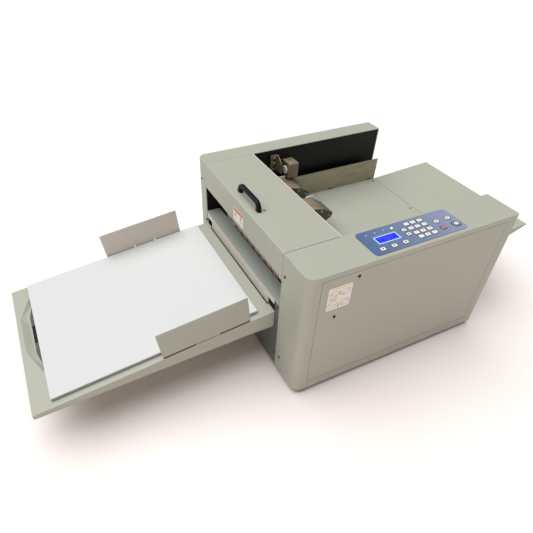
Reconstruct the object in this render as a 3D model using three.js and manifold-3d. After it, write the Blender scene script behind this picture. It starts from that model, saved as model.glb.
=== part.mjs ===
// Sheet-fed paper creasing machine for a mail room: two side housings joined by a low feed table,
// a lifting cover over the creasing unit, a sloping delivery tray and a feed table extension.
// Millimetres, +X from the delivery side to the feed side, +Y from the operator to the back, +Z up.
import * as THREE from 'three';
import { ConvexGeometry } from 'three/addons/geometries/ConvexGeometry.js';
import { mergeVertices } from 'three/addons/utils/BufferGeometryUtils.js';
import Module from 'manifold-3d';

const wasm = await Module();
wasm.setup();

// ---- driving dimensions -------------------------------------------------------------------
const GAP = 0.3;
const SHEET = 1.5;
const WALL = 2;
const BODY_L = 490;
const BODY_D = 492;
const BODY_H = 300;
const FRONT_W = 84;
const REAR_W = 45.5;
const CORNER_R = 18;
const FOOT_H = 12;
const FOOT_R = 14;
const REAR_Y = BODY_D - REAR_W;

const FRONT_PLATE = [79, 82];
const REAR_PLATE = [448, 451];
const PLATE_X = [2.6, 487.4];
const PLATE_Z = [2.6, 297.4];

const COVER_L = 122;
const COVER_SKIRT = 58.3;
const HINGE = { x: 110, z: 287, r: 4 };
const HANDLE = { x0: 16.5, x1: 26, y0: 215, y1: 311, h: 20.5, bar: 6, foot: 15, bend: 16, lean: 1 };

const TABLE_Z = 165;
const TABLE_X0 = 143;
const SHELF_Z = 177;
const SHELF_L = 33;
const FENCE = { y: 427.5, x0: 180, x1: 491, top: 224 };

const TRAY_Z = 147.9;
const TRAY_TILT = THREE.MathUtils.degToRad(6.88);
const TRAY_L = 470;
const TRAY_Y = [97, 441];
const PAPER = { s0: 31.5, s1: 434.6, y0: 110.7, y1: 436.5, thick: 5 };
const GUIDE_L = 180;
const GUIDE_H = 65;

const EXT_TILT = THREE.MathUtils.degToRad(3.4);
const EXT_L = 187.6;
const EXT_Y = [78, 427.5];

const MOTOR = { x: 120, z: 70, r: 30, shaft: 4, pulley: 12 };
const UPPER_ROLL = { x: 45, z: 192.3, r: 12, pulley: 18 };
const LOWER_ROLL = { x: 45, z: 170, r: 10 };
const FEED_SHAFT = { x: 150, z: 212, r: 6, pulley: 18 };
const FEED_WHEEL = { x: 205, z: 192.5, r: 26, axle: 3 };
const HEAD_W = 52;
const HEAD_Y = { front: 270, rear: 372 };
const BELT_Y = [457, 469];
const BELT_T = 2;
const BLADE_X = 78;

const PANEL = { x0: 142, x1: 359.5, y0: 8, y1: 78, r: 9, z: BODY_H + GAP, t: 0.7 };
const KEY_TOP = BODY_H + 2.2;
const KEY_FOOT = BODY_H - 2.5;

// ---- finishes -----------------------------------------------------------------------------
function finish(color, roughness, metalness) {
  return new THREE.MeshStandardMaterial({ color, roughness, metalness });
}
const casing = finish(0xb9baab, 0.55, 0.1);
const shadeCasing = finish(0x9aa19a, 0.55, 0.1);
const blackSteel = finish(0x1c1d1b, 0.6, 0.3);
const steel = finish(0x77735f, 0.4, 0.8);
const brightSteel = finish(0xb5b5b0, 0.3, 0.9);
const zincPlate = finish(0xa58f72, 0.4, 0.7);
const rubber = finish(0x222222, 0.9, 0);
const blackPlastic = finish(0x1b1c1e, 0.45, 0);
const whitePlastic = finish(0xeeeeea, 0.4, 0);
const panelBlue = finish(0x6a86b8, 0.4, 0);
const stopRed = finish(0xc85a50, 0.4, 0);
const startGreen = finish(0x6f9a6a, 0.4, 0);
const paper = finish(0xf4f4f6, 0.9, 0);
const board = finish(0x2f6b45, 0.6, 0);

// ---- solid makers -------------------------------------------------------------------------
// Every corner is snapped to a thousandth of a millimetre, so faces meant to be level are level.
function solid(geometry) {
  const bare = geometry.index ? geometry.toNonIndexed() : geometry.clone();
  bare.deleteAttribute('normal');
  bare.deleteAttribute('uv');
  const corners = bare.attributes.position;
  corners.array.forEach((value, i) => { corners.array[i] = Math.round(value * 1000) / 1000; });
  const merged = mergeVertices(bare, 1e-4);
  const vertProperties = new Float32Array(merged.attributes.position.array);
  const triVerts = new Uint32Array(merged.index.array);
  return new wasm.Manifold(new wasm.Mesh({ numProp: 3, vertProperties, triVerts }));
}

function geometryOf(body) {
  const out = body.getMesh();
  const geometry = new THREE.BufferGeometry();
  geometry.setAttribute('position', new THREE.BufferAttribute(new Float32Array(out.vertProperties), 3));
  geometry.setIndex(new THREE.BufferAttribute(new Uint32Array(out.triVerts), 1));
  geometry.computeVertexNormals();
  return geometry;
}

function box(x0, x1, y0, y1, z0, z1) {
  const geometry = new THREE.BoxGeometry(x1 - x0, y1 - y0, z1 - z0);
  geometry.translate((x0 + x1) / 2, (y0 + y1) / 2, (z0 + z1) / 2);
  return solid(geometry);
}

function shapeOf(points) {
  return new THREE.Shape(points.map(([a, b]) => new THREE.Vector2(a, b)));
}

function roundedRect(x0, x1, y0, y1, r) {
  const shape = new THREE.Shape();
  shape.moveTo(x0 + r, y0);
  shape.lineTo(x1 - r, y0);
  shape.absarc(x1 - r, y0 + r, r, -Math.PI / 2, 0);
  shape.lineTo(x1, y1 - r);
  shape.absarc(x1 - r, y1 - r, r, 0, Math.PI / 2);
  shape.lineTo(x0 + r, y1);
  shape.absarc(x0 + r, y1 - r, r, Math.PI / 2, Math.PI);
  shape.lineTo(x0, y0 + r);
  shape.absarc(x0 + r, y0 + r, r, Math.PI, 1.5 * Math.PI);
  return shape;
}

// Plan outline (x, y) carried up from z0 to z1.
function upright(shape, z0, z1, curveSegments = 4) {
  const geometry = new THREE.ExtrudeGeometry(shape, { depth: z1 - z0, bevelEnabled: false, curveSegments });
  geometry.translate(0, 0, z0);
  return solid(geometry);
}

// Front outline (x, z) carried back from y0 to y1.
function across(shape, y0, y1, curveSegments = 6) {
  const geometry = new THREE.ExtrudeGeometry(shape, { depth: y1 - y0, bevelEnabled: false, curveSegments });
  geometry.rotateX(Math.PI / 2);
  geometry.translate(0, y1, 0);
  return solid(geometry);
}

// Side outline (y, z) carried along from x0 to x1.
function along(shape, x0, x1, curveSegments = 6) {
  const geometry = new THREE.ExtrudeGeometry(shape, { depth: x1 - x0, bevelEnabled: false, curveSegments });
  const turn = new THREE.Matrix4().makeBasis(
    new THREE.Vector3(0, 1, 0), new THREE.Vector3(0, 0, 1), new THREE.Vector3(1, 0, 0));
  geometry.applyMatrix4(turn);
  geometry.translate(x0, 0, 0);
  return solid(geometry);
}

function rod(x, z, r, y0, y1, sides = 24) {
  const geometry = new THREE.CylinderGeometry(r, r, y1 - y0, sides);
  geometry.translate(x, (y0 + y1) / 2, z);
  return solid(geometry);
}

function disc(x, y, r, z0, z1, sides = 20) {
  const geometry = new THREE.CylinderGeometry(r, r, z1 - z0, sides);
  geometry.rotateX(Math.PI / 2);
  geometry.translate(x, y, (z0 + z1) / 2);
  return solid(geometry);
}

function cutHoles(body, holes, y0, y1) {
  return holes.reduce((rest, hole) => rest.subtract(rod(hole.x, hole.z, hole.r, y0, y1)), body);
}

// ---- assembly groups ----------------------------------------------------------------------
const machine = new THREE.Group();
const trayGroup = new THREE.Group();
trayGroup.position.set(0, 0, TRAY_Z);
trayGroup.rotation.y = -TRAY_TILT;
machine.add(trayGroup);
const extensionGroup = new THREE.Group();
extensionGroup.position.set(BODY_L + 0.8, 0, TABLE_Z);
extensionGroup.rotation.y = -EXT_TILT;
machine.add(extensionGroup);

function place(name, body, material, parent = machine) {
  const mesh = new THREE.Mesh(geometryOf(body), material);
  mesh.name = name;
  parent.add(mesh);
}

// ---- lower casing: one folded sheet, the floor and both end walls ---------------------------
function lowerCasing() {
  const y0 = FRONT_W + 0.6;
  const y1 = REAR_Y - 0.6;
  return upright(roundedRect(2.4, BODY_L - 2.4, 3.4, BODY_D - 2.4, CORNER_R), 0, WALL)
    .add(box(0.4, BODY_L - 0.4, y0, y1, 0, WALL))
    .add(box(0.4, 0.4 + SHEET, y0, y1, 0, 141))
    .add(box(0.4, 0.4 + SHEET, y0, 99, 140, 175))
    .add(box(0.4, 0.4 + SHEET, 439, y1, 140, 175))
    .add(box(BODY_L - 0.4 - SHEET, BODY_L - 0.4, y0, y1, 0, 151));
}

// ---- side frame plates, which carry every shaft ---------------------------------------------
function framePlate([y0, y1]) {
  const holes = [
    { x: HINGE.x, z: HINGE.z, r: HINGE.r + 0.35 },
    { x: UPPER_ROLL.x, z: UPPER_ROLL.z, r: 4.35 },
    { x: LOWER_ROLL.x, z: LOWER_ROLL.z, r: 4.35 },
    { x: FEED_SHAFT.x, z: FEED_SHAFT.z, r: FEED_SHAFT.r + 0.35 },
    { x: MOTOR.x, z: MOTOR.z, r: MOTOR.shaft + 2 },
  ];
  const plate = box(PLATE_X[0], PLATE_X[1], y0, y1, PLATE_Z[0], PLATE_Z[1]);
  return cutHoles(plate, holes, y0 - 1, y1 + 1);
}

// ---- housings: folded shells, open below and towards the middle of the machine --------------
function housingOutline(x0, x1, yOuter, yInner, side, leftR, rightR) {
  const shape = new THREE.Shape();
  shape.moveTo(x0, yInner);
  shape.lineTo(x0, yOuter + side * leftR);
  if (side > 0) shape.absarc(x0 + leftR, yOuter + leftR, leftR, Math.PI, 1.5 * Math.PI);
  else shape.absarc(x0 + leftR, yOuter - leftR, leftR, Math.PI, Math.PI / 2, true);
  shape.lineTo(x1 - rightR, yOuter);
  if (side > 0) shape.absarc(x1 - rightR, yOuter + rightR, rightR, -Math.PI / 2, 0);
  else shape.absarc(x1 - rightR, yOuter - rightR, rightR, Math.PI / 2, 0, true);
  shape.lineTo(x1, yInner);
  return shape;
}

const ACCESS = { x0: 28, x1: 462, z0: 22, z1: 288 };

function frontHousing() {
  const skin = upright(housingOutline(0, BODY_L, 0, FRONT_W, 1, CORNER_R, 5), 0, BODY_H, 10);
  const inside = housingOutline(WALL, BODY_L - WALL, 3, FRONT_W + 1, 1, CORNER_R - 3, 3);
  const seat = box(ACCESS.x0 - 0.8, ACCESS.x1 + 0.8, -1, 1.6, ACCESS.z0 - 0.8, ACCESS.z1 + 0.8);
  const hatch = box(ACCESS.x0 + 16, ACCESS.x1 - 16, 1, 4, ACCESS.z0 + 16, ACCESS.z1 - 16);
  const window = box(PANEL.x0 + 4, PANEL.x1 - 4, PANEL.y0 + 4, PANEL.y1 - 4, BODY_H - 5, BODY_H + 1);
  return skin.subtract(upright(inside, -1, BODY_H - WALL, 6)).subtract(seat).subtract(hatch).subtract(window);
}

const INLET = { x: 430, z: 55 };
const SWITCH = { x: 375, z: 55 };
const VENTS = { x0: 250, pitch: 14, count: 11, w: 5, z: [96, 140], h: 34 };

// Two rows of upright slots in the back wall, behind the power supply.
function ventSlots() {
  const slots = [];
  for (const z of VENTS.z) {
    for (let i = 0; i < VENTS.count; i += 1) {
      const x = VENTS.x0 + i * VENTS.pitch;
      slots.push(box(x, x + VENTS.w, BODY_D - 4, BODY_D + 1, z, z + VENTS.h));
    }
  }
  return slots;
}

function rearHousing() {
  const skin = upright(housingOutline(0, BODY_L, BODY_D, REAR_Y, -1, CORNER_R, 5), 0, BODY_H, 10);
  const inside = housingOutline(WALL, BODY_L - WALL, BODY_D - WALL, REAR_Y - 1, -1, CORNER_R - 2, 3);
  const inletHole = box(INLET.x - 14.5, INLET.x + 14.5, 485, 495, INLET.z - 10.5, INLET.z + 10.5);
  const switchHole = box(SWITCH.x - 7, SWITCH.x + 7, 485, 495, SWITCH.z - 11.5, SWITCH.z + 11.5);
  return [inletHole, switchHole, ...ventSlots()]
    .reduce((rest, hole) => rest.subtract(hole), skin.subtract(upright(inside, -1, BODY_H - WALL, 6)));
}

function accessPlate() {
  return box(ACCESS.x0, ACCESS.x1, 0, 1.3, ACCESS.z0, ACCESS.z1);
}

function mainsInlet() {
  const flange = box(INLET.x - 24, INLET.x + 24, BODY_D + GAP, BODY_D + 2, INLET.z - 14, INLET.z + 14);
  const block = box(INLET.x - 14, INLET.x + 14, 468, BODY_D + 1, INLET.z - 10, INLET.z + 10);
  const mouth = box(INLET.x - 12, INLET.x + 12, 476, BODY_D + 3, INLET.z - 7.8, INLET.z + 7.8);
  const pins = [[-7, 1.5], [0, -1.5], [7, 1.5]].map(([dx, dz]) =>
    box(INLET.x + dx - 1, INLET.x + dx + 1, 475, 489, INLET.z + dz - 2, INLET.z + dz + 2));
  return pins.reduce((all, pin) => all.add(pin), flange.add(block).subtract(mouth));
}

// The rocker lies tipped to its off side, and turns about a lengthwise pivot.
function rockerSwitch() {
  const tip = THREE.MathUtils.degToRad(-8);
  const face = [[-8, -9.5], [3, -9.5], [0.5, 0], [3, 9.5], [-8, 9.5]];
  const turned = face.map(([y, z]) => [
    BODY_D - 2 + y * Math.cos(tip) - z * Math.sin(tip), SWITCH.z + y * Math.sin(tip) + z * Math.cos(tip)]);
  return along(shapeOf(turned), SWITCH.x - 6.2, SWITCH.x + 6.2);
}

// ---- delivery end: exit shelf with its hanging lip -------------------------------------------
function exitShelf() {
  const y0 = FRONT_W + 0.6;
  const y1 = REAR_Y - 0.6;
  return box(-SHEET, SHELF_L, y0, y1, SHELF_Z - SHEET, SHELF_Z)
    .add(box(-SHEET, 0, 101, 437, 164, SHELF_Z))
    .add(box(-SHEET, 0, 125, 414, 143.5, SHELF_Z));
}

// ---- feed table, an upturned folded tray -----------------------------------------------------
function feedTable() {
  const [y0, y1] = [FRONT_W + 0.8, REAR_Y - 0.6];
  const x1 = BODY_L - 0.4;
  const block = box(TABLE_X0, x1, y0, y1, 152, TABLE_Z);
  return block.subtract(box(TABLE_X0 + SHEET, x1 - SHEET, y0 + SHEET, y1 - SHEET, 150, TABLE_Z - SHEET));
}

function sideLayFence() {
  const z0 = TABLE_Z + GAP;
  return box(FENCE.x0, FENCE.x1, FENCE.y, FENCE.y + SHEET, z0, FENCE.top)
    .add(box(FENCE.x0, FENCE.x1, FENCE.y, 444, z0, z0 + SHEET));
}

// ---- lifting cover with its hinge stubs ------------------------------------------------------
function topCover() {
  const [y0, y1] = [FRONT_W + 0.8, REAR_Y - 0.6];
  const z0 = BODY_H - COVER_SKIRT;
  const bend = 3;
  const profile = new THREE.Shape();
  profile.moveTo(0, z0);
  profile.lineTo(0, BODY_H - bend);
  profile.absarc(bend, BODY_H - bend, bend, Math.PI, Math.PI / 2, true);
  profile.lineTo(COVER_L, BODY_H);
  profile.lineTo(COVER_L, BODY_H - 14);
  profile.lineTo(COVER_L - SHEET, BODY_H - 14);
  profile.lineTo(COVER_L - SHEET, BODY_H - SHEET);
  profile.lineTo(bend, BODY_H - SHEET);
  profile.absarc(bend, BODY_H - bend, bend - SHEET, Math.PI / 2, Math.PI);
  profile.lineTo(SHEET, z0);
  const ear = (y) => box(HINGE.x - 11, COVER_L - 1, y, y + WALL, 276, BODY_H - 1);
  return across(profile, y0, y1, 3)
    .add(ear(y0 + 1))
    .add(ear(y1 - 1 - WALL))
    .add(rod(HINGE.x, HINGE.z, HINGE.r, FRONT_PLATE[0] + 0.4, y0 + 2))
    .add(rod(HINGE.x, HINGE.z, HINGE.r, y1 - 2, REAR_PLATE[1] - 0.4));
}

// The handle is a low bow: a foot at each end, and a bar that bends down into both.
function coverHandle() {
  const { x0, x1, y0, y1, bar, foot, bend, lean } = HANDLE;
  const z = BODY_H + GAP;
  const top = z + HANDLE.h;
  const shoulder = z + HANDLE.h * 0.45;
  const outline = new THREE.Shape();
  outline.moveTo(y0, z);
  outline.lineTo(y0 + lean, shoulder);
  outline.quadraticCurveTo(y0 + lean, top, y0 + bend, top);
  outline.lineTo(y1 - bend, top);
  outline.quadraticCurveTo(y1 - lean, top, y1 - lean, shoulder);
  outline.lineTo(y1, z);
  outline.lineTo(y1 - foot, z);
  outline.quadraticCurveTo(y1 - foot, top - bar, y1 - foot - bend * 0.7, top - bar);
  outline.lineTo(y0 + foot + bend * 0.7, top - bar);
  outline.quadraticCurveTo(y0 + foot, top - bar, y0 + foot, z);
  return along(outline, x0, x1, 5);
}

// ---- creasing unit ---------------------------------------------------------------------------
function creaseBlade() {
  return box(BLADE_X - 10, BLADE_X + 10, 92, 438, 200, 226)
    .add(box(BLADE_X - 1, BLADE_X + 1, 94, 436, 184, 201));
}

function creaseAnvil() {
  return box(BLADE_X - 12, BLADE_X + 12, FRONT_W + 0.8, REAR_Y - 0.6, 150, 179.4)
    .subtract(box(BLADE_X - 1.6, BLADE_X + 1.6, FRONT_W, REAR_Y, 175, 181));
}

// ---- rollers, shafts and the belt that joins them ---------------------------------------------
function upperRoller() {
  return [100, 170, 240, 310, 380].reduce(
    (shaft, y) => shaft.add(rod(UPPER_ROLL.x, UPPER_ROLL.z, UPPER_ROLL.r, y, y + 40)),
    rod(UPPER_ROLL.x, UPPER_ROLL.z, 4, 77, 471, 20))
    .add(rod(UPPER_ROLL.x, UPPER_ROLL.z, UPPER_ROLL.pulley, 456, 470, 28));
}

function lowerRoller() {
  return rod(LOWER_ROLL.x, LOWER_ROLL.z, LOWER_ROLL.r, 92, 438)
    .add(rod(LOWER_ROLL.x, LOWER_ROLL.z, 4, 77, 452.5, 20));
}

function feedDriveShaft() {
  return rod(FEED_SHAFT.x, FEED_SHAFT.z, FEED_SHAFT.r, 76, 471)
    .add(rod(FEED_SHAFT.x, FEED_SHAFT.z, FEED_SHAFT.pulley, 456, 470, 28));
}

function motorPulley() {
  return rod(MOTOR.x, MOTOR.z, MOTOR.pulley, 456, 470)
    .add(rod(MOTOR.x, MOTOR.z, MOTOR.shaft, 436, 471, 20));
}

function mainMotor() {
  return rod(MOTOR.x, MOTOR.z, MOTOR.r, 372, 447.4, 32)
    .add(box(MOTOR.x - 22, MOTOR.x + 22, 380, 440, 30, 60))
    .subtract(rod(MOTOR.x, MOTOR.z, MOTOR.shaft + 0.4, 434, 449));
}

// The belt's outline is the tight loop around the three pulleys: an arc on each, joined by tangents.
function beltLoop(offset) {
  const wheels = [[MOTOR, MOTOR.pulley], [FEED_SHAFT, FEED_SHAFT.pulley], [UPPER_ROLL, UPPER_ROLL.pulley]];
  const loop = new THREE.Shape();
  const tangent = wheels.map(([from, fromR], i) => {
    const [to, toR] = wheels[(i + 1) % 3];
    const span = Math.hypot(to.x - from.x, to.z - from.z);
    const heading = Math.atan2(to.z - from.z, to.x - from.x);
    return heading - Math.acos((fromR - toR) / span);
  });
  wheels.forEach(([wheel, r], i) => {
    const start = tangent[(i + 2) % 3];
    loop.absarc(wheel.x, wheel.z, r + offset, start, tangent[i]);
  });
  return loop;
}

function driveBelt() {
  return across(beltLoop(GAP + BELT_T), BELT_Y[0], BELT_Y[1], 8)
    .subtract(across(beltLoop(GAP), BELT_Y[0] - 1, BELT_Y[1] + 1, 8));
}

// ---- feed heads: a folded arm that swings on the drive shaft and carries one rubber wheel -----
function feedArm(y0) {
  const y1 = y0 + HEAD_W;
  const side = new THREE.Shape();
  side.moveTo(FEED_SHAFT.x, 198);
  side.absarc(FEED_SHAFT.x, FEED_SHAFT.z, 14, 1.5 * Math.PI, Math.PI / 2, true);
  side.lineTo(189, 232.5);
  side.lineTo(215, 226.5);
  side.lineTo(241, 211.6);
  side.lineTo(238.5, 201.3);
  side.lineTo(225, 193.5);
  side.lineTo(213, 184.5);
  side.lineTo(196, 184.5);
  side.lineTo(178, 193.5);
  const hollow = shapeOf([[120, 150], [238.7, 150], [238.7, 210.6], [214.4, 224.4], [188.9, 230.3], [120, 219]]);
  const holes = [
    { x: FEED_SHAFT.x, z: FEED_SHAFT.z, r: FEED_SHAFT.r + 0.35 },
    { x: FEED_WHEEL.x, z: FEED_WHEEL.z, r: FEED_WHEEL.axle + 0.35 },
  ];
  const arm = across(side, y0, y1).subtract(across(hollow, y0 + 2.5, y1 - 2.5));
  return cutHoles(arm, holes, y0 - 1, y1 + 1);
}

function feedWheel(y0) {
  const mid = y0 + HEAD_W / 2;
  return rod(FEED_WHEEL.x, FEED_WHEEL.z, FEED_WHEEL.r, mid - 15, mid + 15, 32)
    .add(rod(FEED_WHEEL.x, FEED_WHEEL.z, FEED_WHEEL.axle, y0 - 1.5, y0 + HEAD_W + 1.5, 16));
}

// ---- separator adjuster on the black rear plate ------------------------------------------------
// A square block, the plate that carries it, and the bent plate on its left with its sloping wing.
function adjusterBlock() {
  const wing = shapeOf([[447.6, 246], [447.6, 287], [438, 284], [421, 272], [421, 246]]);
  return box(203, 229, 413, 447.6, 235, 271)
    .add(box(186, 204, 444, 447.6, 240, 272))
    .add(along(wing, 186, 188))
    .add(box(168.5, 187, 441, 447.6, 249, 287));
}

function adjusterWheel() {
  const wheel = new THREE.CylinderGeometry(10, 10, 4, 24);
  wheel.rotateZ(Math.PI / 2);
  wheel.translate(200.4, 428, 252);
  return solid(wheel);
}

// ---- delivery tray, guides and sheets, all in the tray's own sloping frame ----------------------
function trayFlange() {
  return shapeOf([[-0.9, 0], [-6.2, -38], [-9, -40.6], [-45, -36.7], [-TRAY_L, -9.6], [-TRAY_L, 0]]);
}

// The finger well is pressed into the tray: its walls slope from the rim to a smaller floor.
const WELL = {
  depth: 8,
  middle: [-440, 293],
  rim: [[-462, 250], [-462, 345], [-438, 403], [-425, 403], [-425, 183], [-438, 183]],
  floor: [[-448, 264], [-448, 331], [-436, 385], [-425, 385], [-425, 205], [-436, 205]],
  hole: { x0: -446, x1: -433, y0: 272, y1: 322 },
};

function wellHull(grow, floorZ, rimZ) {
  const [cx, cy] = WELL.middle;
  const ring = (outline, z) => outline.map(([x, y]) =>
    new THREE.Vector3(x + grow * Math.sign(x - cx), y + grow * Math.sign(y - cy), z));
  return solid(new ConvexGeometry([...ring(WELL.rim, rimZ), ...ring(WELL.floor, floorZ)]));
}

function deliveryTray() {
  const [y0, y1] = TRAY_Y;
  const pan = across(trayFlange(), y0, y1)
    .subtract(box(SHEET - TRAY_L, 5, y0 + SHEET, y1 - SHEET, -60, -SHEET))
    .subtract(box(-4.8, 1, 122.5, 416.5, -3, 1));
  const { depth, hole } = WELL;
  return pan.add(wellHull(SHEET, -depth - SHEET, -0.5))
    .subtract(wellHull(0, -depth, 0.5))
    .subtract(box(hole.x0, hole.x1, hole.y0, hole.y1, -depth - SHEET - 1, 0));
}

// A guide is an upright plate whose middle third is folded flat into a foot.
function trayGuide(plateY, footY, far, footFrom, footTo) {
  const z0 = 0.4;
  const plate = box(-far, -far + GUIDE_L, plateY, plateY + SHEET, z0 + SHEET + 0.5, GUIDE_H)
    .add(box(-footTo, -footFrom, plateY, plateY + SHEET, z0, GUIDE_H))
    .add(box(-footTo, -footFrom, Math.min(footY, plateY), Math.max(footY, plateY + SHEET), z0, z0 + 1.2));
  return [footFrom, footTo].reduce((rest, s) =>
    rest.subtract(box(-s - 0.8, -s + 0.8, plateY - 1, plateY + SHEET + 1, 0, 11)), plate);
}

function paperStack() {
  return box(-PAPER.s1, -PAPER.s0, PAPER.y0, PAPER.y1, 2, 2 + PAPER.thick);
}

// ---- feed table extension, in its own gently rising frame ---------------------------------------
function feedExtension() {
  const [y0, y1] = EXT_Y;
  const flange = shapeOf([[0, 0], [0, -34], [78, -34], [140, -16], [EXT_L, -3], [EXT_L, 0]]);
  return across(flange, y0, y1)
    .subtract(box(-5, EXT_L - SHEET, y0 + SHEET, y1 - SHEET, -60, -SHEET));
}

// ---- power and control, inside -------------------------------------------------------------------
function powerSupply() {
  return box(250, 400, 330, 440, 2.4, 52).subtract(box(249, 262, 340, 430, 20, 53));
}

function controlBoard() {
  const parts = [[182, 206, 128, 150], [220, 262, 170, 205], [282, 300, 140, 200], [186, 204, 210, 232]];
  return parts.reduce((all, [x0, x1, z0, z1]) => all.add(box(x0, x1, 52, 67, z0, z1)),
    box(170, 330, 66, 67.6, 118, 242));
}

// ---- keypad: a blue panel and one sprung cap for each key ------------------------------------------
const KEYS = [];
function addKey(name, x, y, w, d, round, material) {
  KEYS.push({ name, x, y, w, d, round, material });
}
[165, 190.5, 216.4].forEach((x, i) => addKey(`menu_key_${i + 1}`, x, 20.5, 10, 8, 1, whitePlastic));
addKey('up_key', 238, 51.3, 9, 7.5, 1, whitePlastic);
addKey('down_key', 238, 37.7, 9, 7.5, 1, whitePlastic);
const PAD_X = [254.5, 270, 286.5];
const PAD_Y = [64.8, 50.7, 35.4, 22.2];
const PAD_NAMES = ['1', '2', '3', '4', '5', '6', '7', '8', '9', 'clear', '0', 'enter'];
PAD_NAMES.forEach((label, i) =>
  addKey(`pad_key_${label}`, PAD_X[i % 3], PAD_Y[Math.floor(i / 3)], 10.5, 8, 1, whitePlastic));
addKey('test_key', 313.9, 47.9, 11, 8.5, 4, whitePlastic);
addKey('mode_key', 342.3, 48.3, 11, 8.5, 4, whitePlastic);
addKey('stop_key', 312.5, 26.5, 12, 8, 3.9, stopRed);
addKey('start_key', 344.3, 26.7, 17, 14, 6.9, startGreen);

function keyBody(key, grow, z0, z1) {
  const [hw, hd] = [key.w / 2 + grow, key.d / 2 + grow];
  return upright(roundedRect(key.x - hw, key.x + hw, key.y - hd, key.y + hd, key.round), z0, z1, 2);
}

function keypadPanel() {
  const sheet = upright(roundedRect(PANEL.x0, PANEL.x1, PANEL.y0, PANEL.y1, PANEL.r), PANEL.z, PANEL.z + PANEL.t);
  return KEYS.reduce((rest, key) => rest.subtract(keyBody(key, GAP, PANEL.z - 1, PANEL.z + 2)), sheet);
}

// ---- put the machine together -----------------------------------------------------------------------
place('lower_casing', lowerCasing(), casing);
place('front_frame_plate', framePlate(FRONT_PLATE), shadeCasing);
place('rear_frame_plate', framePlate(REAR_PLATE), blackSteel);
place('front_housing', frontHousing(), casing);
place('rear_housing', rearHousing(), casing);
place('access_plate', accessPlate(), casing);
place('mains_inlet', mainsInlet(), blackPlastic);
place('rocker_switch', rockerSwitch(), blackPlastic);
place('exit_shelf', exitShelf(), shadeCasing);
place('feed_table', feedTable(), casing);
place('side_lay_fence', sideLayFence(), steel);
place('top_cover', topCover(), casing);
place('cover_handle', coverHandle(), blackPlastic);
place('crease_blade', creaseBlade(), steel);
place('crease_anvil', creaseAnvil(), brightSteel);
place('upper_exit_roller', upperRoller(), rubber);
place('lower_exit_roller', lowerRoller(), brightSteel);
place('feed_drive_shaft', feedDriveShaft(), brightSteel);
place('main_motor', mainMotor(), blackSteel);
place('motor_pulley', motorPulley(), brightSteel);
place('drive_belt', driveBelt(), rubber);
for (const [end, y] of Object.entries(HEAD_Y)) {
  place(`feed_arm_${end}`, feedArm(y), zincPlate);
  place(`feed_wheel_${end}`, feedWheel(y), rubber);
}
place('adjuster_block', adjusterBlock(), steel);
place('adjuster_wheel', adjusterWheel(), whitePlastic);
place('delivery_tray', deliveryTray(), shadeCasing, trayGroup);
place('tray_guide_front', trayGuide(98.9, 140, 233, 120, 166), shadeCasing, trayGroup);
place('tray_guide_rear', trayGuide(438, 400, 254, 138, 187), shadeCasing, trayGroup);
place('paper_stack', paperStack(), paper, trayGroup);
place('feed_extension', feedExtension(), casing, extensionGroup);
place('power_supply', powerSupply(), brightSteel);
place('control_board', controlBoard(), board);
place('keypad_panel', keypadPanel(), panelBlue);
for (const key of KEYS) place(key.name, keyBody(key, 0, KEY_FOOT, KEY_TOP), key.material);

const FEET = { front_left: [42, 42], front_right: [448, 42], rear_left: [42, 466], rear_right: [448, 466] };
for (const [corner, [x, y]] of Object.entries(FEET)) {
  place(`foot_${corner}`, disc(x, y, FOOT_R, -FOOT_H, -GAP), rubber);
}

// The row's origin is the middle of the machine's footprint, on the surface under its feet.
machine.updateMatrixWorld(true);
const bounds = new THREE.Box3().setFromObject(machine, true);
const group = new THREE.Group();
machine.position.set(-(bounds.min.x + bounds.max.x) / 2, -(bounds.min.y + bounds.max.y) / 2, -bounds.min.z);
group.add(machine);

export default group;
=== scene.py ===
"""Looks of the sheet-fed paper creasing machine, in metres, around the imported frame."""
import math

import bmesh
import bpy
import numpy as np
from mathutils import Matrix, Vector


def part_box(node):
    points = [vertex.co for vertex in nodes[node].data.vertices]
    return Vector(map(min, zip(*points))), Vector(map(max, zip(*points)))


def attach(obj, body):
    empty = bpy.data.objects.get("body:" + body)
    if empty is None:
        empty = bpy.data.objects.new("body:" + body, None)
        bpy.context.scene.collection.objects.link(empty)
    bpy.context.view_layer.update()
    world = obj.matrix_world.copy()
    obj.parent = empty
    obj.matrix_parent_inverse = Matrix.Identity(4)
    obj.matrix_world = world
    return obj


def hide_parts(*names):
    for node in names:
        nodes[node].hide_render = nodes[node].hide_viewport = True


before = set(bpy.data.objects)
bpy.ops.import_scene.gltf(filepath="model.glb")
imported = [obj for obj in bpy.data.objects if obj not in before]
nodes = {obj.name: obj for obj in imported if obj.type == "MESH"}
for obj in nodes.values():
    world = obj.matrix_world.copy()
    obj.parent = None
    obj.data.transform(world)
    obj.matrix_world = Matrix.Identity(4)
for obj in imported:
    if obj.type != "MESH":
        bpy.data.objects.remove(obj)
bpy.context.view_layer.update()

# ---- Camera, floor and studio light ----------------------------------------------------------
# The operator's view from the front left and above, on a pale floor under one broad overhead light
# and a small warm one at the left. Places are millimetres from the front housing's lower left
# front corner.
DATUM = np.array(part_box("front_housing")[0])
CAMERA_AT = (-339.6, -451.0, 785.0)
CAMERA_TURN = [math.radians(angle) for angle in (-27.912, 42.103, 1.966)]
CAMERA_LENS = 31.04
CAMERA_SHIFT = (0.0237, 0.043)


def at(x, y, z):
    """Points x, y, z millimetres from the front housing's lower left front corner, in metres."""
    return DATUM + np.stack(np.broadcast_arrays(x, y, z), axis=-1) / 1000


def box_m(node):
    """The low and the high corner of a part's box, in metres."""
    return [np.array(corner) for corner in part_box(node)]


def box_mm(node):
    """The low and the high corner of a part's box, in the millimetres that at() takes."""
    return [(np.array(corner) - DATUM) * 1000 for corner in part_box(node)]


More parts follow.
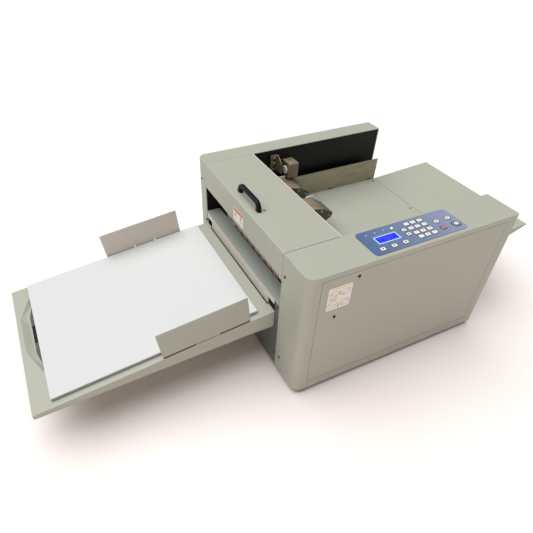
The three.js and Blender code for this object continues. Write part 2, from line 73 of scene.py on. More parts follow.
def view_axes(azimuth, elevation, roll):
    """Right, up and back axes of a camera turned about the vertical, raised, then rolled."""
    back = Vector((math.sin(azimuth) * math.cos(elevation),
                   -math.cos(azimuth) * math.cos(elevation), math.sin(elevation)))
    level = Vector((math.cos(azimuth), math.sin(azimuth), 0))
    above = back.cross(level)
    right = math.cos(roll) * level + math.sin(roll) * above
    up = math.cos(roll) * above - math.sin(roll) * level
    return right, up, back


camera = bpy.data.objects.new("camera", bpy.data.cameras.new("camera"))
bpy.context.scene.collection.objects.link(camera)
camera.data.lens = CAMERA_LENS
camera.data.shift_x, camera.data.shift_y = CAMERA_SHIFT
camera_turn = Matrix(view_axes(*CAMERA_TURN)).transposed().to_4x4()
camera.matrix_world = Matrix.Translation(at(*CAMERA_AT)) @ camera_turn
bpy.context.scene.camera = camera


def studio_light(name, kind, place, colour, **settings):
    """A lamp of one kind at a place in metres, turned to face the machine's middle."""
    light = bpy.data.lights.new(name, kind)
    light.color = colour
    for key, value in settings.items():
        setattr(light, key, value)
    holder = bpy.data.objects.new(name, light)
    bpy.context.scene.collection.objects.link(holder)
    holder.location = place
    holder.rotation_euler = (Vector((0, 0, 0.15)) - Vector(place)).to_track_quat("-Z", "Y").to_euler()


studio_light("overhead", "SUN", (-0.9, 0.8, 4.0), (1.0, 1.0, 0.985), energy=3.3, angle=math.radians(75))
studio_light("left_fill", "AREA", (-1.1, -2.4, 0.9), (1.0, 0.68, 0.54), energy=7.5, size=1.4)

world = bpy.data.worlds.new("studio")
world.use_nodes = True
world.node_tree.nodes["Background"].inputs["Color"].default_value = (1.0, 0.97, 0.955, 1)
world.node_tree.nodes["Background"].inputs["Strength"].default_value = 0.20
bpy.context.scene.world = world
bpy.context.scene.view_settings.view_transform = "Standard"


def plain_material(name, colour, roughness):
    """A node material whose Principled shader has this colour and roughness on its own sockets."""
    material = bpy.data.materials.new(name)
    material.use_nodes = True
    shader = material.node_tree.nodes["Principled BSDF"]
    shader.inputs["Base Color"].default_value = (*colour, 1)
    shader.inputs["Roughness"].default_value = roughness
    return material


FLOOR_HALF = 8.0
floor_mesh = bpy.data.meshes.new("floor")
FLOOR_CORNERS = [(-1, -1), (1, -1), (1, 1), (-1, 1)]
floor_mesh.from_pydata([(x * FLOOR_HALF, y * FLOOR_HALF, 0) for x, y in FLOOR_CORNERS], [], [(0, 1, 2, 3)])
floor_mesh.materials.append(plain_material("pale_floor", (0.955, 0.895, 0.88), 0.95))
floor = bpy.data.objects.new("floor", floor_mesh)
bpy.context.scene.collection.objects.link(floor)

# ---- Powder-coated sheet metal shells --------------------------------------------------------
# The casings, tray and tables are 1.5 to 3 mm steel sheet, folded, and sprayed with a fine-textured
# light grey-green powder that is baked on. Each is cut and folded sharp, then its edges are eased.


def shader_node(tree, kind, inputs=(), **settings):
    """A new node of a kind, its settings made first and then the constants on its own sockets."""
    made = tree.nodes.new("ShaderNode" + kind)
    for key, value in settings.items():
        setattr(made, key, value)
    for socket, value in dict(inputs).items():
        made.inputs[socket].default_value = value
    return made


def speckled(name, colour, spread, roughness, grain, depth, metallic=0.0, patch=9.0, stretch=(1, 1, 1),
             specular=0.5):
    """A material whose colour wanders from colour by spread in soft patches, patch of them a metre, whose
    roughness does too, and whose surface has grain lumps a metre, depth metres deep. A stretch other
    than one packs the pattern closer along that axis, so it draws out into streaks along the others."""
    material = plain_material(name, colour, roughness)
    tree = material.node_tree
    shader = tree.nodes["Principled BSDF"]
    shader.inputs["Metallic"].default_value = metallic
    shader.inputs["Specular IOR Level"].default_value = specular
    dark, light = [(*[min(1.0, c * share) for c in colour], 1) for share in (1 - spread, 1 + spread)]
    place = shader_node(tree, "TexCoord")
    mapping = shader_node(tree, "Mapping", {"Scale": stretch})
    patches = shader_node(tree, "TexNoise", {"Scale": patch, "Detail": 5.0})
    tint = shader_node(tree, "Mix", {"A": dark, "B": light}, data_type="RGBA")
    gloss = shader_node(tree, "MapRange", {"To Min": roughness - 0.08, "To Max": roughness + 0.08})
    lumps = shader_node(tree, "TexNoise", {"Scale": grain, "Detail": 3.0})
    bump = shader_node(tree, "Bump", {"Strength": 0.55, "Distance": depth})
    join = tree.links.new
    join(place.outputs["Object"], mapping.inputs["Vector"])
    join(mapping.outputs["Vector"], patches.inputs["Vector"])
    join(mapping.outputs["Vector"], lumps.inputs["Vector"])
    join(patches.outputs["Fac"], tint.inputs["Factor"])
    join(patches.outputs["Fac"], gloss.inputs["Value"])
    join(tint.outputs["Result"], shader.inputs["Base Color"])
    join(gloss.outputs["Result"], shader.inputs["Roughness"])
    join(lumps.outputs["Fac"], bump.inputs["Height"])
    join(bump.outputs["Normal"], shader.inputs["Normal"])
    return material


powder_grey = speckled("powder_grey", (0.400, 0.412, 0.348), 0.025, 0.5, 1500, 0.00011)
# A darker, greener copy of the powder for the exit shelf: painted shade under the cover.
shelf_painted_shade = speckled("shelf_painted_shade", (0.340, 0.372, 0.340), 0.025, 0.55, 1500, 0.00011)
# A darker copy of the powder: painted shade.
casing_painted_shade = speckled("casing_painted_shade", (0.115, 0.128, 0.108), 0.06, 0.45, 1500, 0.00011)
# A paler copy of the powder: painted light.
powder_painted_light = speckled("powder_painted_light", (0.650, 0.610, 0.545), 0.025, 0.5, 1500, 0.00011)
satin_black = speckled("satin_black", (0.0035, 0.0035, 0.003), 0.15, 0.5, 1300, 0.0001, specular=0.3)
WHOLE_FACES = math.radians(1)
EASED_ABOVE = math.radians(28)


def eased(node, body, edge, materials, segments=2, pick=None, crisp=None, rim=-1):
    """A copy of a CAD part with its seams merged and its flat pieces joined into whole faces, whose edges
    are then rounded by edge metres, so they catch the light as a real fold does. Pick gives the number
    of each face's material from the faces' middles and normals. Crisp is the low and high corner, in
    millimetres, of a room in which the edges stay sharp, as punched ones are. Rim is the number of the
    rounded edges' own material, where they have one."""
    mesh = nodes[node].data.copy()
    shape = bmesh.new()
    shape.from_mesh(mesh)
    bmesh.ops.remove_doubles(shape, verts=shape.verts, dist=2e-6)
    bmesh.ops.dissolve_limit(shape, angle_limit=WHOLE_FACES, verts=shape.verts, edges=shape.edges)
    rounding = shape.edges.layers.float.new("bevel_weight_edge")
    for corner in shape.edges:
        places = (np.array([point.co for point in corner.verts]) - DATUM) * 1000
        punched = crisp and np.all(places > crisp[0]) and np.all(places < crisp[1])
        corner[rounding] = float(corner.calc_face_angle(0) > EASED_ABOVE and not punched)
    shape.to_mesh(mesh)
    shape.free()
    mesh.materials.clear()
    for material in materials:
        mesh.materials.append(material)
    count = len(mesh.polygons)
    mesh.polygons.foreach_set("use_smooth", [True] * count)
    middles, normals = np.empty(count * 3), np.empty(count * 3)
    mesh.polygons.foreach_get("center", middles)
    mesh.polygons.foreach_get("normal", normals)
    numbers = pick(middles.reshape(-1, 3), normals.reshape(-1, 3)) if pick else np.zeros(count)
    mesh.polygons.foreach_set("material_index", numbers.astype(int))
    made = bpy.data.objects.new(node + "_finished", mesh)
    bpy.context.scene.collection.objects.link(made)
    bevel = made.modifiers.new("eased_edges", "BEVEL")
    bevel.width = edge
    bevel.segments = segments
    bevel.material = rim
    bevel.limit_method = "WEIGHT"
    flat = made.modifiers.new("flat_faces", "WEIGHTED_NORMAL")
    flat.mode = "FACE_AREA"
    flat.weight = 100
    flat.thresh = 0.01
    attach(made, body)
    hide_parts(node)


TRAY_TILT = math.radians(6.88)
TRAY_TOP = 147.9


def on_tray(s, y, h):
    """Points s millimetres down the tray's slope from the machine, y back and h off its top face."""
    run, rise = math.cos(TRAY_TILT), math.sin(TRAY_TILT)
    return at(-s * run - h * rise, y, TRAY_TOP - s * rise + h * run)


PLATE_ROOM = ((20, -1, 15), (470, 2.5, 295))
VENT_ROOM = ((240, 485, 85), (405, 495, 185))
for node, room in (("front_housing", PLATE_ROOM), ("rear_housing", VENT_ROOM)):
    eased(node, "chassis", 0.0006, [powder_grey], 3, crisp=room)
eased("access_plate", "chassis", 0.0001, [powder_grey])
for node in ("front_frame_plate", "feed_table"):
    eased(node, "chassis", 0.0003, [powder_grey])
# Faces of the lower casing left of 450 mm take the darker copy, as painted shade under the tray.
eased("lower_casing", "chassis", 0.0003, [casing_painted_shade, powder_grey], 2,
      lambda middles, normals: middles[:, 0] > DATUM[0] + 0.45)
# The exit shelf takes the shaded copy as painted shade, and its lip's faces that look left take the paler
# copy as painted light.
eased("exit_shelf", "chassis", 0.0004, [shelf_painted_shade, powder_painted_light], 2,
      lambda middles, normals: normals[:, 0] < -0.7)
eased("top_cover", "cover", 0.0006, [powder_grey])
eased("feed_extension", "extension", 0.0004, [powder_grey])
eased("delivery_tray", "tray", 0.0004, [powder_grey])
eased("tray_guide_front", "tray_guide_front", 0.0004, [powder_grey])
# The rear guide takes the paler copy as painted light, the bounce off the sheets.
eased("tray_guide_rear", "tray_guide_rear", 0.0004, [powder_painted_light])
eased("rear_frame_plate", "chassis", 0.0004, [satin_black])

# ---- Screws ----------------------------------------------------------------------------------
# Button-head steel screws with a six-sided socket hold the shells: M4 on the housings, blackened
# ones on the access plate, and flush dark ones in the feed table. Their threads are inside.


UP, DOWN = (0, 0, 1), (0, 0, -1)
RIGHT, LEFT = (1, 0, 0), (-1, 0, 0)
BACK, FRONT = (0, 1, 0), (0, -1, 0)


def quads(rows, columns, ring=True, loop=False):
    """Corner numbers of the faces of a grid of rows by columns of points. A ring joins each row's last
    point to its first, and a loop joins the last row to the first one."""
    row = np.arange(rows if loop else rows - 1)[:, None]
    column = np.arange(columns if ring else columns - 1)[None, :]
    below, above = row * columns, (row + 1) % rows * columns
    after = (column + 1) % columns
    return np.stack([below + column, below + after, above + after, above + column], axis=-1).reshape(-1, 4)


def piece(name, parts, materials, body, stands_for=(), sharp=35):
    """One object from parts, each made of points, faces and perhaps the number of its material. Points
    are merged where they meet, faces turn outwards, and edges sharper than sharp degrees stay crisp."""
    starts = np.cumsum([0] + [len(part[0]) for part in parts])
    faces = [[start + corner for corner in face] for start, part in zip(starts, parts) for face in part[1]]
    mesh = bpy.data.meshes.new(name)
    mesh.from_pydata(np.concatenate([part[0] for part in parts]).tolist(), [], faces)
    numbers = [part[2] if len(part) > 2 else 0 for part in parts for _ in part[1]]
    mesh.polygons.foreach_set("material_index", numbers)
    shape = bmesh.new()
    shape.from_mesh(mesh)
    bmesh.ops.remove_doubles(shape, verts=shape.verts, dist=1e-6)
    bmesh.ops.recalc_face_normals(shape, faces=shape.faces)
    shape.to_mesh(mesh)
    shape.free()
    for material in materials:
        mesh.materials.append(material)
    mesh.polygons.foreach_set("use_smooth", [True] * len(mesh.polygons))
    mesh.set_sharp_from_angle(angle=math.radians(sharp))
    made = bpy.data.objects.new(name, mesh)
    bpy.context.scene.collection.objects.link(made)
    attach(made, body)
    if stands_for:
        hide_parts(*stands_for)
    return made


def turned(profile, centre, axis, sides=32, corners=0, cornered=None):
    """A profile of (along, radius) millimetres turned once round an axis through centre. Where cornered
    is one, the circle becomes a regular shape of that many corners: the radius is divided by the
    cosine of the angle to the middle of the nearest side."""
    along, radius = np.asarray(profile, float).T / 1000
    axis = Vector(axis).normalized()
    side = axis.orthogonal().normalized()
    angle = np.arange(sides) * 2 * math.pi / sides
    stretch = np.ones((len(along), sides))
    if corners:
        span = 2 * math.pi / corners
        flat = 1 / np.cos((angle + span / 2) % span - span / 2)
        stretch = 1 + np.asarray(cornered, float)[:, None] * (flat - 1)
    circle = np.outer(np.cos(angle), side) + np.outer(np.sin(angle), axis.cross(side))
    reach = (radius[:, None] * stretch)[..., None] * circle
    points = np.asarray(centre) + along[:, None, None] * np.array(axis) + reach
    return points.reshape(-1, 3), quads(len(along), sides).tolist()


def button_screw(centre, axis, radius=3.5, height=2.2):
    """A domed head, then its six-sided socket: the last rings go back down into the head."""
    socket = radius * 0.42
    profile = [(-0.2, 0), (-0.2, radius * 0.97), (0.25, radius), (height * 0.62, radius * 0.86),
               (height * 0.93, radius * 0.62), (height, socket * 1.15), (height, socket),
               (height * 0.35, socket * 0.96), (height * 0.3, 0)]
    return turned(profile, centre, axis, 24, 6, [0, 0, 0, 0, 0, 0, 1, 1, 0])


bright_steel = speckled("bright_steel", (0.62, 0.60, 0.55), 0.08, 0.28, 900, 0.00002, 1.0, 90)
black_oxide = speckled("black_oxide", (0.022, 0.021, 0.020), 0.2, 0.32, 2500, 0.00002, 0.6, 200)
dull_steel = speckled("dull_steel", (0.13, 0.12, 0.10), 0.15, 0.3, 1200, 0.00002, 0.8, 120)
END_SCREWS = [(73, 255), (469, 252), (449, 151), (91.5, 162), (93, 29), (68, 40), (466, 40)]
ACCESS_SCREWS = [(104, 276.7), (65.5, 194.1)]
RIGHT_X = box_mm("front_housing")[1][0]
BACK_Y = box_mm("rear_housing")[1][1]
TABLE_TOP = box_mm("feed_table")[1][2]


def screws(name, places, axis, material, radius=3.1, height=2.2, body="chassis"):
    """One piece of like screws at places in millimetres, whose heads all look along the axis."""
    piece(name, [button_screw(at(*place), axis, radius, height) for place in places], [material], body)


screws("left_end_screws", [(0, y, z) for y, z in END_SCREWS], LEFT, dull_steel)
screws("right_end_screws", [(RIGHT_X, y, z) for y in (42, 470) for z in (42, 255)], RIGHT, bright_steel)
screws("back_screws", [(x, BACK_Y, z) for x in (34, 456) for z in (24, 276)], BACK, bright_steel, height=1.7)
screws("access_plate_screws", [(x, 0, z) for x, z in ACCESS_SCREWS], FRONT, black_oxide, 3.4, 1.6)
screws("feed_table_screws", [(480, y, TABLE_TOP) for y in (111, 263, 415)], UP, black_oxide, 2.5, 0.7)

# ---- Painted shade on the tray ---------------------------------------------------------------
# Black slabs paint the shade in the slot that the exit lip hangs in and in the gaps under the guides'
# free ends, and a dark grey slab with a black middle paints the shade on the finger well's floor and over its
# hole.
# Black for slabs of painted shade in gaps and holes, and for the brush's clamp strip.
clamp_black_and_painted_shade = speckled("clamp_black_and_painted_shade", (0.008, 0.008, 0.008), 0.2, 0.9, 1200, 0.0002, 0, 150)


def tray_block(s, y, h):
    """A plain box between two distances down the tray, two across it and two off its top face."""
    corners = ((0, 0), (1, 0), (1, 1), (0, 1))
    points = np.stack([on_tray(s[i], y[j], h[k]) for k in (0, 1) for i, j in corners])
    return points, quads(2, 4).tolist() + [[0, 1, 2, 3], [4, 5, 6, 7]]


piece("slot_painted_shade", [tray_block((1.95, 8), (120, 419), (-3.6, -1.6))], [clamp_black_and_painted_shade], "tray")
# Dark grey for the finger well floor's painted shade.
well_painted_shade = speckled("well_painted_shade", (0.105, 0.110, 0.098), 0.2, 0.9, 900, 0.0002, 0, 150)
piece("well_floor_painted_shade", [tray_block((427, 445), (210, 380), (-7.9, -7.4)),
                     (*tray_block((432, 444.5), (272, 322), (-7.4, -7.0)), 1)],
      [well_painted_shade, clamp_black_and_painted_shade], "tray")
for end, plate_y, free_ends in (("front", (98.7, 100.2), ((54, 118.6), (167.4, 232))),
                                ("rear", (438.2, 439.2), ((75, 136.6), (188.4, 253)))):
    piece(f"guide_gap_painted_shade_{end}", [tray_block(s, plate_y, (0.4, 2.35)) for s in free_ends],
          [clamp_black_and_painted_shade], f"tray_guide_{end}")

# ---- Printed labels --------------------------------------------------------------------------
# Vinyl stickers: a picture label on the access plate, a colour-banded one on the cover's skirt and a
# data plate at the back. They carry plain shapes only, with no lettering or signs.


def rounded(width, depth, radius, middle=(0, 0), steps=5):
    """Corners of a rectangle round a middle, its corners arcs: each arc's points are its centre plus
    radius times the unit circle's direction."""
    angle = np.radians(np.arange(4)[:, None] * 90 + np.linspace(0, 90, steps + 1)[None, :])
    across = np.array([1, -1, -1, 1])[:, None] * (width / 2 - radius) + radius * np.cos(angle)
    up = np.array([1, 1, -1, -1])[:, None] * (depth / 2 - radius) + radius * np.sin(angle)
    return np.stack([across.ravel(), up.ravel()], axis=-1) + middle


def ring(width, depth, radius, middle=(0, 0), rim=0.7):
    """The outer and the inner outline of a ring as wide as rim."""
    return [rounded(width - 2 * inset, depth - 2 * inset, radius - inset, middle) for inset in (0, rim)]


def slab(outline, origin, across, up, thick, number=0, lift=0.0):
    """A flat shape with an outline of (across, up) millimetres from origin: its points lifted off the
    face, and again thick millimetres higher along the face's normal, joined by a wall."""
    outline = np.asarray(outline, float)
    across, up = np.array(across, float), np.array(up, float)
    normal = np.cross(across, up)
    flat = origin + (outline[:, :1] * across + outline[:, 1:] * up + lift * normal) / 1000
    count = len(outline)
    walls = quads(2, count).tolist()
    points = np.concatenate([flat, flat + thick / 1000 * normal])
    return points, [*walls, list(range(count)), list(range(count, 2 * count))], number


def band(outer, inner, origin, across, up, thick, number=0, lift=0.0):
    """A flat ring between two outlines of as many points: outer low, outer high, inner high and inner low
    are four rings of points, joined in a loop."""
    across, up = np.array(across, float), np.array(up, float)
    normal = np.cross(across, up)
    rings = [(outer, 0), (outer, thick), (inner, thick), (inner, 0)]
    points = [origin + (np.asarray(ring)[:, :1] * across + np.asarray(ring)[:, 1:] * up
                        + (lift + height) * normal) / 1000 for ring, height in rings]
    return np.concatenate(points), quads(4, len(outer), loop=True).tolist(), number


PRINT = 0.05
STICKER = 0.12
vinyl_white = speckled("vinyl_white", (0.80, 0.76, 0.70), 0.02, 0.35, 2500, 0.00001, 0, 60)
ink_ochre = speckled("ink_ochre", (0.40, 0.31, 0.03), 0.06, 0.45, 2500, 0.00001, 0, 300)
ink_straw = speckled("ink_straw", (0.74, 0.62, 0.22), 0.06, 0.45, 2500, 0.00001, 0, 300)
ink_line = speckled("ink_line", (0.26, 0.21, 0.19), 0.06, 0.45, 2500, 0.00001, 0, 300)
ink_red = speckled("ink_red", (0.58, 0.045, 0.004), 0.06, 0.4, 2500, 0.00001, 0, 300)
FRONT_FACE = (RIGHT, UP)
PICTURE_AT = at(68.5, 0, 240.9)


PICTURE_MARKS = [(37, 2.6, 0.4, (2, 22.2), 2), (2.6, 9.5, 0.5, (0, 11), 1), (2.6, 9.5, 0.5, (0, -19), 1),
                 (16, 2.2, 0.5, (-13, -2.0), 1)]


def printed(sticker, face, marks):
    """Slabs printed on a sticker. A mark is a width, depth, corner radius, middle and material number."""
    return [slab(rounded(*shape), sticker, *face, PRINT, number, STICKER) for *shape, number in marks]


picture = [slab(rounded(50, 52.8, 4), PICTURE_AT, *FRONT_FACE, STICKER)]
picture += printed(PICTURE_AT, FRONT_FACE, PICTURE_MARKS)
for x in (-13, 13):
    for z in (9.5, -14.5):
        picture.append(band(*ring(18, 14.5, 4, (x, z)), PICTURE_AT, *FRONT_FACE, PRINT, 3, STICKER))
        for turn in (-1, 1):
            spot = (x + 4.2 * turn, z + 2.2 * turn * np.sign(x))
            picture.append(band(*ring(5, 5, 2.4, spot), PICTURE_AT, *FRONT_FACE, PRINT, 3, STICKER))
piece("picture_label", picture, [vinyl_white, ink_ochre, ink_straw, ink_line], "chassis")

SKIRT_FACE = (FRONT, UP)
BANDED_AT = at(0, 269.5, 263.5)
BANDED_MARKS = [(41, 5.4, 0.6, (0, 10.4), 1)]
for y in (-12, 12):
    BANDED_MARKS.append((6.5, 7.5, 1.6, (y, 1.5), 2))
    BANDED_MARKS += [(14, 0.7, 0.3, (y, z), 3) for z in (-5.5, -8.2)]
banded = [slab(rounded(45, 30, 2), BANDED_AT, *SKIRT_FACE, STICKER)]
banded += printed(BANDED_AT, SKIRT_FACE, BANDED_MARKS)
piece("cover_label", banded, [vinyl_white, ink_red, ink_ochre, ink_line], "cover")

BACK_FACE = (LEFT, UP)
DATA_AT = at(130, BACK_Y, 70)
DATA_LINES = [(-8, 13, 40), (-14, 7, 28), (-11, 1, 34), (-17, -5, 22), (-12, -11, 32)]
data_plate = [slab(rounded(70, 40, 3), DATA_AT, *BACK_FACE, STICKER)]
data_plate += printed(DATA_AT, BACK_FACE, [(width, 1.6, 0.4, (x, z), 1) for x, z, width in DATA_LINES])
data_plate.append(band(rounded(14, 14, 1), rounded(12.4, 12.4, 0.6), at(108, BACK_Y, 64), *BACK_FACE,
                       PRINT, 1, STICKER))
piece("data_plate", data_plate, [vinyl_white, ink_line], "chassis")

# ---- Cover handle ----------------------------------------------------------------------------
# A moulded black nylon bow handle, 96 mm long, screwed to the cover from below. The bar is rounded in
# section and widens into a flat foot at each end.
HANDLE_BAR = 8.4
HANDLE_BEND = 11.0
handle_lo, handle_hi = box_m("cover_handle")
moulded_black = speckled("moulded_black", (0.004, 0.004, 0.004), 0.15, 0.45, 2200, 0.00005, 0, 60,
                         specular=0.2)


def bow_handle(bend=HANDLE_BEND / 1000, bar=HANDLE_BAR / 1000, around=20):
    """A section carried along the bow: straight up, a quarter turn, along, a quarter turn and down.
    The section is a superellipse, its sine and cosine raised to 0.5, whose width and thickness
    grow towards both feet with the square of the height lost."""
    foot, bar_wide = 0.0072, 0.0045
    front, back = handle_lo[1] + foot, handle_hi[1] - foot
    low, top = handle_lo[2], handle_hi[2] - bar / 2
    turn = np.radians(np.linspace(0, 90, 9))
    rise = np.linspace(low, top - bend, 5)[:-1]
    run = np.linspace(front + bend, back - bend, 12)[1:-1]
    y = np.concatenate([np.full(4, front), front + bend * (1 - np.cos(turn)), run,
                        back - bend * (1 - np.cos(turn[::-1])), np.full(4, back)])
    z = np.concatenate([rise, top - bend * (1 - np.sin(turn)), np.full(10, top),
                        top - bend * (1 - np.sin(turn[::-1])), rise[::-1]])
    along = np.gradient(np.stack([y, z], axis=-1), axis=0)
    along /= np.linalg.norm(along, axis=1, keepdims=True)
    lost = ((top - z) / (top - low)) ** 2
    angle = np.arange(around) * 2 * math.pi / around
    wide = np.sign(np.cos(angle)) * np.abs(np.cos(angle)) ** 0.5
    deep = np.sign(np.sin(angle)) * np.abs(np.sin(angle)) ** 0.5
    half_wide = bar_wide + (handle_hi[0] - handle_lo[0] - 2 * bar_wide) / 2 * lost
    half_deep = bar / 2 + (foot - bar / 2) * lost
    middle = (handle_lo[0] + handle_hi[0]) / 2
    x = middle + half_wide[:, None] * wide
    ring_y = y[:, None] - half_deep[:, None] * deep * along[:, 1:]
    ring_z = z[:, None] + half_deep[:, None] * deep * along[:, :1]
    points = np.stack([x, ring_y, ring_z], axis=-1).reshape(-1, 3)
    ends = [list(range(around)), list(range(len(points) - around, len(points)))]
    return points, quads(len(y), around).tolist() + ends


piece("bow_handle", [bow_handle()], [moulded_black], "cover", ["cover_handle"], 50)
piece("cover_plug", [turned([(-0.2, 0), (-0.2, 3.4), (0.5, 3.4), (1.1, 2.8), (1.3, 1.6), (1.3, 0)],
                            at(32.2, 219, 300), UP, 24)],
      [speckled("plug_grey", (0.21, 0.21, 0.19), 0.1, 0.45, 2500, 0.00003, 0, 200)], "cover")

# ---- Side-lay fence --------------------------------------------------------------------------
# A plated steel angle that squares the sheets along the rear side. Two relief notches are cut in its
# foot, a rivet holds it, and rolling has left faint long streaks in the plate.
STREAKS_X = (0.25, 1, 1)
plated_steel = speckled("plated_steel", (0.42, 0.385, 0.29), 0.35, 0.42, 900, 0.00002, 0.55, 90, STREAKS_X)
fence_lo, fence_hi = box_mm("side_lay_fence")
FENCE_NOTCHES = [(338, 354), (465, 481)]
NOTCH_H = 2.4
FENCE_T = 1.5


def fence_outline():
    """The fence seen from the front: along the foot with a step up at each notch, then back along the
    top, whose two corners are cut off."""
    foot, top = fence_lo[2], fence_hi[2]
    outline = [(fence_lo[0], foot)]
    for left, right in FENCE_NOTCHES:
        outline += [(left, foot), (left, foot + NOTCH_H), (right, foot + NOTCH_H), (right, foot)]
    outline += [(fence_hi[0], foot), (fence_hi[0], top - 1), (fence_hi[0] - 1, top),
                (fence_lo[0] + 1, top), (fence_lo[0], top - 1)]
    return outline


fence_foot = rounded(fence_hi[0] - fence_lo[0] - 0.4, fence_hi[1] - fence_lo[1] - FENCE_T - 0.2, 1)
foot_middle = at((fence_lo[0] + fence_hi[0]) / 2, (fence_lo[1] + fence_hi[1] + FENCE_T) / 2, fence_lo[2])
piece("side_lay_fence_finished",
      [slab(fence_outline(), at(0, fence_lo[1] + FENCE_T, 0), RIGHT, UP, FENCE_T),
       slab(fence_foot, foot_middle, RIGHT, BACK, FENCE_T),
       turned([(-0.2, 0), (-0.2, 3.2), (0.5, 2.9), (0.9, 1.9), (1.05, 0)],
              at(342.5, fence_lo[1], 203.8), FRONT, 24)],
      [plated_steel], "chassis", ["side_lay_fence"], 30)
# Black slabs in the fence's two notches: painted shade.
notch_shade_slabs = [slab([(left, 0), (right, 0), (right, NOTCH_H), (left, NOTCH_H)],
                      at(0, fence_lo[1] + FENCE_T, fence_lo[2]), RIGHT, UP, FENCE_T)
                 for left, right in ((left + 0.3, right - 0.3) for left, right in FENCE_NOTCHES)]
piece("notch_painted_shade", notch_shade_slabs, [clamp_black_and_painted_shade], "chassis")

# ---- Painted highlight on the cover's edge ---------------------------------------------------
# A thin pale strip along the cover's right-hand edge is a painted highlight.
painted_edge_highlight = speckled("painted_edge_highlight", (0.80, 0.78, 0.70), 0.05, 0.4, 1500, 0.00005, 0, 90)
cover_lo, cover_hi = box_mm("top_cover")
edge_middle = at(cover_hi[0] - 1.0, (cover_lo[1] + cover_hi[1]) / 2, 300)
piece("cover_edge_painted_highlight", [slab(rounded(1.1, cover_hi[1] - cover_lo[1] - 6, 0.4), edge_middle, RIGHT,
                               BACK, 0.06)], [painted_edge_highlight], "cover")

# ---- Anti-static brush -----------------------------------------------------------------------
# Tufts of tan bristle, clamped in a black strip along the inside of the cover's skirt, hang just
# below its lower edge and brush the charge off each sheet as it leaves.
bristle_tan = speckled("bristle_tan", (0.23, 0.155, 0.105), 0.4, 0.8, 900, 0.0003, 0, 300, (1, 4, 0.2))


def block(lo, hi, radius, steps=2):
    """A box with rounded edges: a ball's points, each moved out to its own corner of the smaller box
    inside, radius millimetres in from the box's faces, and the two flat ends closed."""
    radius = radius / 1000
    low, high = np.asarray(lo) + radius, np.asarray(hi) - radius
    rise = np.radians(np.concatenate([np.linspace(-90, 0, steps + 1), np.linspace(0, 90, steps + 1)]))
    turn = np.radians((np.arange(4)[:, None] * 90 + np.linspace(0, 90, steps + 1)).ravel())
    quarter = np.repeat(np.arange(4), steps + 1)
    corner_x = np.where((quarter == 0) | (quarter == 3), high[0], low[0])
    corner_y = np.where(quarter < 2, high[1], low[1])
    corner_z = np.where(np.arange(len(rise)) > steps, high[2], low[2])
    x = corner_x + radius * np.outer(np.cos(rise), np.cos(turn))
    y = corner_y + radius * np.outer(np.cos(rise), np.sin(turn))
    z = (corner_z + radius * np.sin(rise))[:, None] + np.zeros(len(turn))
    points = np.stack([x, y, z], axis=-1).reshape(-1, 3)
    columns = len(turn)
    ends = [[column + last for column in range(0, columns, steps + 1)]
            for last in (0, (len(rise) - 1) * columns)]
    return points, quads(len(rise), columns).tolist() + ends


TUFTS_END = 330
strip_z = cover_lo[2] - 1.5
tufts = [(*block(at(2.2, cover_lo[1] + 14, strip_z), at(5.0, TUFTS_END + 20, strip_z + 5), 0.5), 1)]
tufts += [block(at(1.9, y, strip_z - 10.5), at(4.6, y + 19, strip_z + 2), 1.0)
          for y in np.arange(cover_lo[1] + 22, TUFTS_END, 26)]
piece("antistatic_brush", tufts, [bristle_tan, clamp_black_and_painted_shade], "cover")

# ---- Keypad panel and its display ------------------------------------------------------------
# A blue polyester film, printed from behind and lighter towards its right end, is stuck over the
# keys' holes. It has a lit blue display in a pale frame, four lamps and small coloured marks.
PANEL_LO, PANEL_HI = box_m("keypad_panel")
FILM_LEFT = (0.075, 0.142, 0.285)
FILM_RIGHT = (0.255, 0.292, 0.425)


def film_material():
    """The speckled finish, its colour run from FILM_LEFT to FILM_RIGHT along the panel's own length."""
    material = speckled("keypad_film", FILM_LEFT, 0.12, 0.34, 3000, 0.00001, 0, 160)
    tree = material.node_tree
    place = shader_node(tree, "TexCoord")
    split = shader_node(tree, "SeparateXYZ")
    run = shader_node(tree, "MapRange", {"From Min": PANEL_LO[0], "From Max": PANEL_HI[0]})
    blend = shader_node(tree, "Mix", {"B": (*FILM_RIGHT, 1)}, data_type="RGBA")
    patchy = next(node for node in tree.nodes if node.bl_idname == "ShaderNodeMix").outputs["Result"]
    tree.links.new(place.outputs["Object"], split.inputs["Vector"])
    tree.links.new(split.outputs["X"], run.inputs["Value"])
    tree.links.new(run.outputs["Result"], blend.inputs["Factor"])
    tree.links.new(patchy, blend.inputs["A"])
    tree.links.new(blend.outputs["Result"], tree.nodes["Principled BSDF"].inputs["Base Color"])
    return material


def glowing(name, colour, strength):
    """A smooth plastic lens that gives off its own colour."""
    material = speckled(name, colour, 0.05, 0.2, 2500, 0.00001, 0, 300)
    shader = material.node_tree.nodes["Principled BSDF"]
    shader.inputs["Emission Color"].default_value = (*colour, 1)
    shader.inputs["Emission Strength"].default_value = strength
    return material


eased("keypad_panel", "chassis", 0.00015, [film_material()])
FILM_Z = (PANEL_HI[2] - DATUM[2]) * 1000
FILM_FACE = (RIGHT, BACK)
